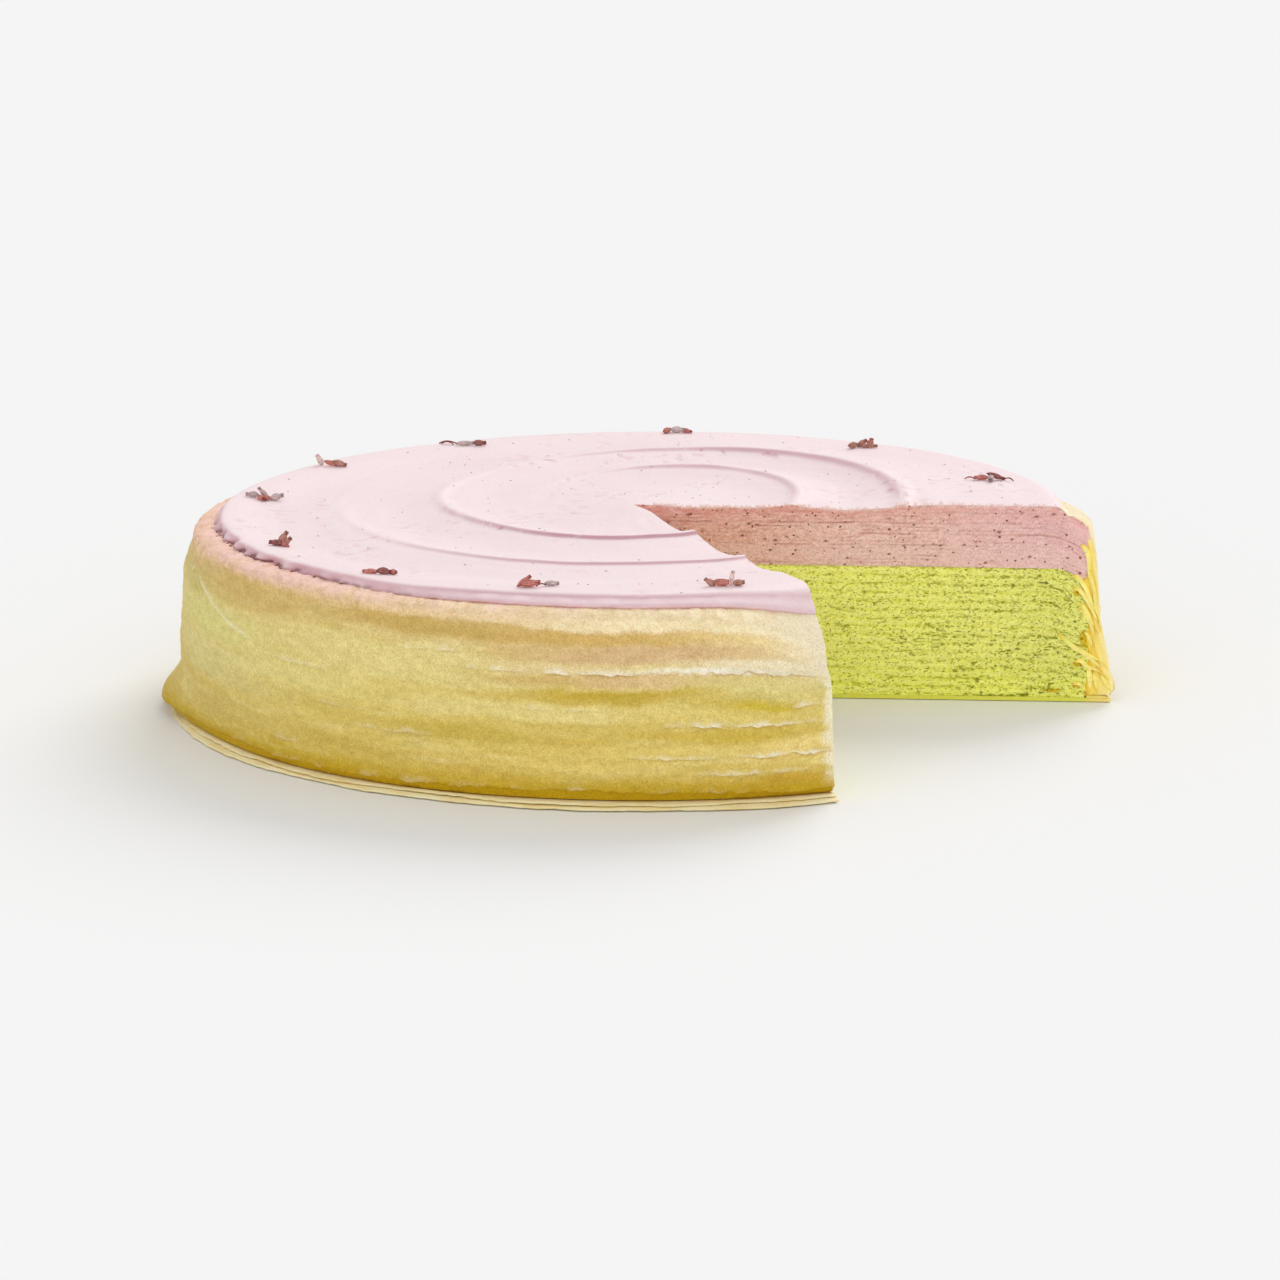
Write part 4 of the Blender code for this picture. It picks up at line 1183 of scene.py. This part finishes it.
def make_leaf_ends():
    body = Body("leaf_ends")
    for cut in (CUT_RIGHT, CUT_LEFT):
        for number, (points, thickness, stand) in enumerate(FAN_LEAVES):
            if cut == CUT_LEFT:
                shift = 0.8 * math.sin(number * 5.1)
                points = [(radius - 0.25, height + shift) for radius, height in points if height + shift > 1.9]
            line = curve_through(points, 7)
            along = np.linspace(0.0, 1.0, len(line))
            half = thickness * 1.2 * (0.18 + 0.82 * np.sin(np.clip(along * 1.2 + 0.04, 0.0, 1.0) * math.pi) ** 0.6)
            line[:, 0] = np.minimum(line[:, 0], wall_radius(cut, line[:, 1]) - 0.5 - half)
            ahead = np.gradient(line, axis=0)
            ahead /= np.linalg.norm(ahead, axis=1)[:, None]
            side = np.stack([ahead[:, 1], -ahead[:, 0]], -1)
            ragged = 0.22 * noise(along * 9.0, number * 3.7, seed=97) + 0.12 * noise(along * 25.0, number, seed=98)
            front = 0.6 * stand + ragged
            rings = []
            tints = []
            # Painted shade: each leaf's sides darken towards its back, in the gaps behind the cut face.
            for offset, back, tint in ((-1, 0.0, LEAF_GOLD), (0, -0.15, LEAF_LIGHT), (1, 0.0, LEAF_LIGHT),
                                       (1, LEAF_DEPTH, LEAF_GOLD_IN_SHADE), (-1, LEAF_DEPTH, LEAF_GOLD_IN_SHADE)):
                section = line + side * (half * offset)[:, None]
                place_at = turned_points(cut, section[:, 0], section[:, 1])
                rings.append(place_at + (front - back)[:, None] * cut_normal(cut))
                tints.append(np.broadcast_to(linear(tint), place_at.shape))
            tints = np.stack(tints, 1) * (1.0 + 0.08 * noise(along * 12.0, number, seed=99))[:, None, None]
            in_green = 1.0 - smoothstep(104.6, 106.2, line[:, 0])
            tints = blend(tints, (238, 238, 128), (0.9 * in_green)[:, None] + 0.0 * tints[..., 0])
            # Painted shade: each leaf is darker at its start, where it goes into the green.
            tints = blend(tints, LEAF_GOLD_IN_SHADE, (0.7 * (1.0 - smoothstep(0.0, 0.22, along)))[:, None] + 0.0 * tints[..., 0])
            body.tube(body.add(np.stack(rings, 1), tints))
    obj = body.finish([crepe_edge], slumped, sharp=50.0)
    place(obj, "outer_crepes")
    return obj


# --- foot leaves --------------------------------------------------------------------------------------

FOOT_COLUMNS = 620
GREEN_REST = 0.97
FOOT_LEAVES = [
    # bottom, top, outer radius, inner radius, how ragged
    (0.0, 0.80, BASE_RADIUS - 0.4, 0.0, 0.7),
    (0.82, 1.45, BASE_RADIUS - 1.6, 109.3, 1.0),
]


def make_foot():
    """The wide lowest crepe, and the draped leaf end that lies on it."""
    body = Body("foot_leaves")
    angle = np.linspace(CUT_RIGHT, CUT_LEFT, FOOT_COLUMNS + 1)[:, None]
    for number, (low, high, reach, inner, ragged) in enumerate(FOOT_LEAVES):
        tatter = noise(angle * 22.0, number * 3.0, seed=111) + 0.6 * noise(angle * 70.0, number, seed=112)
        edge = reach - 0.9 + 0.8 * noise(angle * 4.0, number * 2.0, seed=113) + 0.5 * ragged * tatter
        edge = np.minimum(edge, BASE_RADIUS + 0.2)
        lift = 0.12 * (1 + noise(angle * 12.0, number * 5.0, seed=114)) * number
        thin = high - low
        within = [np.full(angle.shape, max(inner, radius)) for radius in (0.0, 108.6, 110.5)]
        rows_r = within + [edge - 2.4, edge - 0.9, edge - 0.3, edge, edge - 0.2, edge - 1.2] + within[::-1]
        above = [high + 0 * edge] * 4 + [high - 0.12 * thin + lift, high - 0.35 * thin + lift]
        if number == 0:
            above[:2] = [GREEN_REST + 0 * edge] * 2
        rows_z = above + [low + 0.45 * thin + lift, low + 0.2 * thin + lift, low + lift * 0.5] + [low + 0 * edge] * 3
        radii = np.concatenate(rows_r, 1)
        heights = np.concatenate(rows_z, 1)
        bumps = 0.05 * rough(angle * 60.0, radii, seed=115) * (radii > 111)
        heights = np.maximum(heights + bumps, 0.0)
        tone = rough(angle * 18.0, radii / 1.2, seed=116 + number)
        tint = np.broadcast_to(linear((252, 238, 190)), radii.shape + (3,))
        tint = blend(tint, (236, 204, 120), np.clip(0.1 + 0.6 * tone, 0.0, 0.7))
        tint = blend(tint, (255, 248, 222), np.clip(-0.6 * tone, 0.0, 0.8))
        # Painted shade: darker gold close in under the wall.
        tint = blend(tint, (200, 156, 44), 0.9 * (1.0 - smoothstep(111.5, 113.4, radii)))
        tint = blend(tint, (250, 224, 120), 0.9 * bell(angle, CUT_RIGHT, math.radians(3)))
        tint = blend(tint, (226, 224, 92), 1.0 - smoothstep(108.7, 110.4, radii))
        numbers = body.add(turned_points(angle, radii, heights), tint)
        body.sheet(np.concatenate([numbers, numbers[:, :1]], 1) if inner else numbers)
        for column in (0, -1):
            ring = numbers[column]
            for i in range(len(ring) // 2 - 1):
                quad = np.array([[ring[i], ring[i + 1]], [ring[-1 - i], ring[-2 - i]]])
                body.sheet(quad)
    obj = body.finish([foot_crepe], None, sharp=60.0)
    place(obj, "base_crepe", "base_crepe")
    return obj


# --- dried flower buds, crumbs and flecks --------------------------------------------------------------

BUD_COLOURS = {
    "red": ((222, 150, 138), (150, 76, 70)),
    "brown": ((206, 156, 140), (136, 84, 76)),
    "dark": ((176, 118, 112), (104, 58, 58)),
    "grey": ((214, 200, 198), (160, 128, 130)),
    "pale": ((238, 218, 212), (196, 158, 152)),
}

# Each bud: x, y, heading and lean of its tip in degrees, length, colour.
BUDS = [
    (6.6, 100.0, 60, 0, 4.0, "red"),
    (9.3, 100.2, -5, 0, 3.6, "grey"),
    (11.9, 99.8, -50, 0, 3.6, "red"),
    (54.9, 75.0, 50, 0, 3.4, "brown"),
    (57.2, 77.0, -25, 35, 3.2, "brown"),
    (58.9, 75.3, 0, 0, 4.2, "brown"),
    (59.5, 76.5, 0, 75, 2.4, "red"),
    (85.3, 30.0, 180, 0, 3.6, "red"),
    (88.6, 30.0, 0, -18, 4.6, "dark"),
    (87.4, 28.0, -90, 0, 3.4, "grey"),
    (-46.4, 84.2, 3, 0, 4.6, "grey"),
    (-42.7, 84.2, -5, 0, 3.3, "dark"),
    (-82.6, 57.5, 180, 62, 3.0, "pale"),
    (-80.0, 57.5, 0, -20, 3.4, "red"),
    (-77.8, 57.5, 0, -15, 3.7, "brown"),
    (-96.7, 18.3, 180, 5, 3.2, "grey"),
    (-94.0, 18.3, 180, 48, 3.6, "grey"),
    (-91.0, 18.3, 10, 14, 3.4, "grey"),
    (-94.7, 16.5, -60, 0, 3.2, "red"),
    (-93.2, 17.0, -110, 0, 2.6, "red"),
    (-85.4, -37.5, 10, 56, 3.9, "brown"),
    (-85.0, -38.6, 150, 20, 3.2, "red"),
    (-86.6, -39.0, 200, 10, 3.4, "dark"),
    (-84.5, -37.5, -30, 40, 3.0, "brown"),
    (-62.2, -75.8, 178, 2, 3.6, "red"),
    (-59.3, -76.0, -8, -5, 3.4, "dark"),
    (-57.1, -76.0, -40, 0, 1.8, "red"),
    (-26.9, -92.0, 0, 38, 3.8, "red"),
    (-25.5, -92.5, 5, 6, 4.4, "red"),
    (-20.6, -91.0, 0, 0, 3.2, "grey"),
    (15.4, -92.5, 180, 35, 2.8, "brown"),
    (18.0, -92.5, 0, 0, 4.8, "red"),
    (20.2, -92.5, 0, 80, 3.4, "pale"),
    (21.7, -92.5, 0, 8, 2.6, "brown"),
]
BUD_PROFILE = [(0.0, 0.16), (0.06, 0.30), (0.16, 0.62), (0.32, 0.90), (0.50, 1.0), (0.68, 0.88), (0.82, 0.66),
               (0.90, 0.58), (0.96, 0.66), (1.0, 0.50), (0.97, 0.22)]
BUD_RADIUS = 0.80
BUD_SIDES = 24

# Thin stalks beside the buds: x and y of its points.
STALKS = [
    [(-53.2, 86.4), (-52.0, 87.0), (-50.8, 86.5), (-49.2, 85.4), (-48.4, 84.6)],
    [(-52.6, 85.6), (-51.4, 85.9), (-50.2, 85.0), (-49.4, 84.2)],
    [(81.0, 30.4), (82.2, 30.2), (83.6, 30.0)],
    [(90.6, 29.4), (92.0, 28.6), (93.0, 27.6)],
    [(-24.0, -92.8), (-22.8, -92.4), (-21.8, -91.6)],
]


def make_buds():
    body = Body("flower_buds")
    round_angle = np.linspace(0.0, math.tau, BUD_SIDES, endpoint=False)
    shares, widths = np.array(BUD_PROFILE).T
    for number, (x, y, heading, lean, length, kind) in enumerate(BUDS):
        light, deep = BUD_COLOURS[kind]
        heading, lean = math.radians(heading), math.radians(lean)
        forward = np.array([math.cos(heading) * math.cos(lean), math.sin(heading) * math.cos(lean), math.sin(lean)])
        aside = np.array([-math.sin(heading), math.cos(heading), 0.0])
        above = np.cross(forward, aside)
        ribs = 1.0 + 0.10 * np.cos(8 * round_angle)[None, :]
        teeth = 0.10 * np.cos(5 * round_angle)[None, :] * smoothstep(0.8, 1.0, shares)[:, None]
        bumps = 0.10 * noise(round_angle[None, :] * 1.3, shares[:, None] * 5.0, number, seed=121)
        width = BUD_RADIUS * (0.9 + 0.15 * math.sin(number * 2.3)) * widths[:, None] * (ribs + bumps)
        along = (shares[:, None] + teeth - 0.5) * length
        curl = 0.35 * math.sin(number * 4.7) * (shares - 0.5) ** 2 * length
        points = (along[..., None] * forward + (width * np.cos(round_angle) + curl[:, None])[..., None] * aside
                  + (width * np.sin(round_angle))[..., None] * above)
        ground = cream_height(np.array(x), np.array(y)) - 0.12
        points = points + np.array([x, y, ground - points[..., 2].min()])
        # Darker in the grooves between the ribs: partly the calyx's own colour, partly painted shade.
        groove = 0.5 - 0.5 * np.cos(8 * round_angle)[None, :] + 0 * along
        tint = blend(np.broadcast_to(linear(light), points.shape), deep, np.clip(groove, 0.0, 1.0) * 0.8)
        ends = 1.0 - smoothstep(0.0, 0.25, shares) + smoothstep(0.85, 1.0, shares)
        tint = blend(tint, deep, (0.6 * ends)[:, None] + 0 * along)
        tint = tint * (1.0 + 0.25 * noise(round_angle[None, :], shares[:, None] * 6.0, number, seed=122))[..., None]
        body.tube(body.add(points, tint))
    turn = np.linspace(0.0, math.tau, 6, endpoint=False)
    for number, stalk in enumerate(STALKS):
        line = curve_through(stalk, 6)
        lift = 0.25 + 0.5 * np.sin(np.linspace(0.0, math.pi, len(line)))
        height = cream_height(line[:, 0], line[:, 1]) + lift
        ahead = np.gradient(line, axis=0)
        ahead /= np.linalg.norm(ahead, axis=1)[:, None]
        side = np.stack([-ahead[:, 1], ahead[:, 0], 0 * height], -1)
        centre = np.stack([line[:, 0], line[:, 1], height], -1)
        thick = 0.17
        ring = (centre[:, None] + thick * np.cos(turn)[None, :, None] * side[:, None]
                + thick * np.sin(turn)[None, :, None] * np.array([0.0, 0.0, 1.0]))
        body.tube(body.add(ring, linear((140, 74, 66))))
    obj = body.finish([dried_flower], sharp=50.0)
    place(obj, "top_cream")
    return obj


OCTAHEDRON = np.array([(1, 0, 0), (-1, 0, 0), (0, 1, 0), (0, -1, 0), (0, 0, 1), (0, 0, -1)], float)
OCTAHEDRON_FACES = np.array([(0, 2, 4), (2, 1, 4), (1, 3, 4), (3, 0, 4), (2, 0, 5), (1, 2, 5), (3, 1, 5), (0, 3, 5)])
CRUMBS = 210
RIM_CRUMBS = 76
FLECKS = 210


def ball_mesh():
    """A small ball: each octahedron face is split in four."""
    points = [tuple(point) for point in OCTAHEDRON]
    faces = []
    for a, b, c in OCTAHEDRON_FACES:
        middles = []
        for first, second in ((a, b), (b, c), (c, a)):
            middle = OCTAHEDRON[first] + OCTAHEDRON[second]
            points.append(tuple(middle / np.linalg.norm(middle)))
            middles.append(len(points) - 1)
        ab, bc, ca = middles
        faces += [(a, ab, ca), (ab, b, bc), (ca, bc, c), (ab, bc, ca)]
    return np.array(points), np.array(faces)


def make_crumbs():
    """Cream crumbs along the top edge of the right cut."""
    body = Body("cream_crumbs")
    ball, faces = ball_mesh()
    chance = np.random.default_rng(7)
    for _ in range(CRUMBS):
        along = 3.0 + 101.0 * chance.random() ** 1.5
        inward = 0.15 + 1.5 * chance.random() ** 3
        size = 0.16 + 0.36 * chance.random() ** 2
        spread = np.array([math.cos(CUT_RIGHT), math.sin(CUT_RIGHT), 0.0]) * along
        spread = spread - cut_normal(CUT_RIGHT) * inward
        height = cream_height(spread[0:1], spread[1:2])[0]
        lumps = 1.0 + 0.25 * noise(ball[:, 0] * 2.0, ball[:, 1] * 2.0, ball[:, 2] * 2.0 + along, seed=131)
        shape = ball * size * lumps[:, None] * (0.8 + 0.5 * chance.random(3))
        body.lump(shape + spread + [0.0, 0.0, height + size * 0.45], faces, linear((252, 228, 224)))
    for _ in range(RIM_CRUMBS):
        angle = math.radians(mix(186.0, 291.0, chance.random() ** 1.7))
        radius = CREAM_RADIUS + 0.1 + 1.6 * chance.random() ** 2 - RIM_DRAWN_IN * float(drawn_in(angle))
        near_left = math.exp(-((angle - LEFT_MIDDLE) / LEFT_HALF_WIDTH) ** 2)
        size = (0.10 + 0.20 * chance.random() ** 2) * (0.7 + 0.5 * near_left)
        height = SHOULDER_HIGH + SHOULDER_LEFT_RISE * near_left - 0.15 * (radius - CREAM_RADIUS)
        colour = [(252, 214, 202), (240, 186, 172), (170, 100, 90)][int(3 * chance.random() ** (1.6 - near_left))]
        shape = ball * size * (0.8 + 0.5 * chance.random(3))
        centre = np.array([radius * math.cos(angle), radius * math.sin(angle), height])
        centre = slumped(centre[None])[0]
        body.lump(shape + centre, faces, linear(colour))
    obj = body.finish([crumb_skin], sharp=80.0)
    place(obj, "top_cream")
    return obj


def make_flecks():
    """Fine dark flecks of flower on the cream."""
    body = Body("flower_flecks")
    chance = np.random.default_rng(11)
    made = 0
    while made < FLECKS:
        radius = 101.0 * math.sqrt(chance.random())
        angle = mix(CUT_RIGHT + 0.03, CUT_LEFT - 0.03, chance.random())
        if chance.random() > 0.45 + 0.55 * bell(angle, math.radians(60), math.radians(70)):
            continue
        x, y = radius * math.cos(angle), radius * math.sin(angle)
        height = float(cream_height(np.array(x), np.array(y)))
        size = 0.10 + 0.16 * chance.random() ** 2
        turn = math.tau * chance.random()
        stretch = OCTAHEDRON * [size * (1.0 + 1.2 * chance.random()), size, size * 0.5]
        turned_x = stretch[:, 0] * math.cos(turn) - stretch[:, 1] * math.sin(turn)
        turned_y = stretch[:, 0] * math.sin(turn) + stretch[:, 1] * math.cos(turn)
        shape = np.stack([turned_x + x, turned_y + y, stretch[:, 2] + height + 0.02], -1)
        body.lump(shape, OCTAHEDRON_FACES, linear((132, 84, 92)))
        made += 1
    obj = body.finish([dried_flower], sharp=80.0)
    place(obj, "top_cream")
    return obj


# --- camera, light and floor -------------------------------------------------------------------------


def make_stage():
    mesh = bpy.data.meshes.new("floor")
    size = 12.0
    mesh.from_pydata([(-size, -size, 0), (size, -size, 0), (size, size, 0), (-size, size, 0)], [], [(0, 1, 2, 3)])
    floor = bpy.data.objects.new("floor", mesh)
    floor.location.z = -0.0002
    bpy.context.scene.collection.objects.link(floor)
    material = bpy.data.materials.new("floor")
    material.use_nodes = True
    shader = material.node_tree.nodes["Principled BSDF"]
    shader.inputs["Base Color"].default_value = (0.91, 0.91, 0.91, 1.0)
    shader.inputs["Roughness"].default_value = 0.9
    shader.inputs["Specular IOR Level"].default_value = 0.0
    mesh.materials.append(material)

    world = bpy.data.worlds.new("studio")
    bpy.context.scene.world = world
    world.use_nodes = True
    background = world.node_tree.nodes["Background"]
    background.inputs["Color"].default_value = (1.0, 1.0, 1.0, 1.0)
    background.inputs["Strength"].default_value = 0.66

    add_sun("key", 1.45, azimuth=66.0, elevation=34.0, spread=35.0)
    add_sun("fill", 0.95, azimuth=262.0, elevation=14.0, spread=70.0)

    camera_data = bpy.data.cameras.new("camera")
    camera = bpy.data.objects.new("camera", camera_data)
    bpy.context.scene.collection.objects.link(camera)
    camera.location = (-0.0005, -1.1525, 0.2674)
    camera.rotation_euler = (math.radians(90.0 - 12.408), 0.0, 0.0)
    camera_data.lens = 4789.6 / 1280.0 * 36.0
    camera_data.sensor_width = 36.0
    bpy.context.scene.camera = camera
    bpy.context.scene.view_settings.view_transform = "Standard"


def add_sun(name, strength, azimuth, elevation, spread):
    light = bpy.data.lights.new(name, "SUN")
    light.energy = strength
    light.angle = math.radians(spread)
    obj = bpy.data.objects.new(name, light)
    bpy.context.scene.collection.objects.link(obj)
    towards = Vector((
        math.cos(math.radians(elevation)) * math.cos(math.radians(azimuth)),
        math.cos(math.radians(elevation)) * math.sin(math.radians(azimuth)),
        math.sin(math.radians(elevation)),
    ))
    obj.rotation_euler = towards.to_track_quat("Z", "Y").to_euler()


make_cream()
make_mauve()
make_green()
make_wall()
make_leaf_ends()
make_foot()
make_buds()
make_crumbs()
make_flecks()
make_stage()
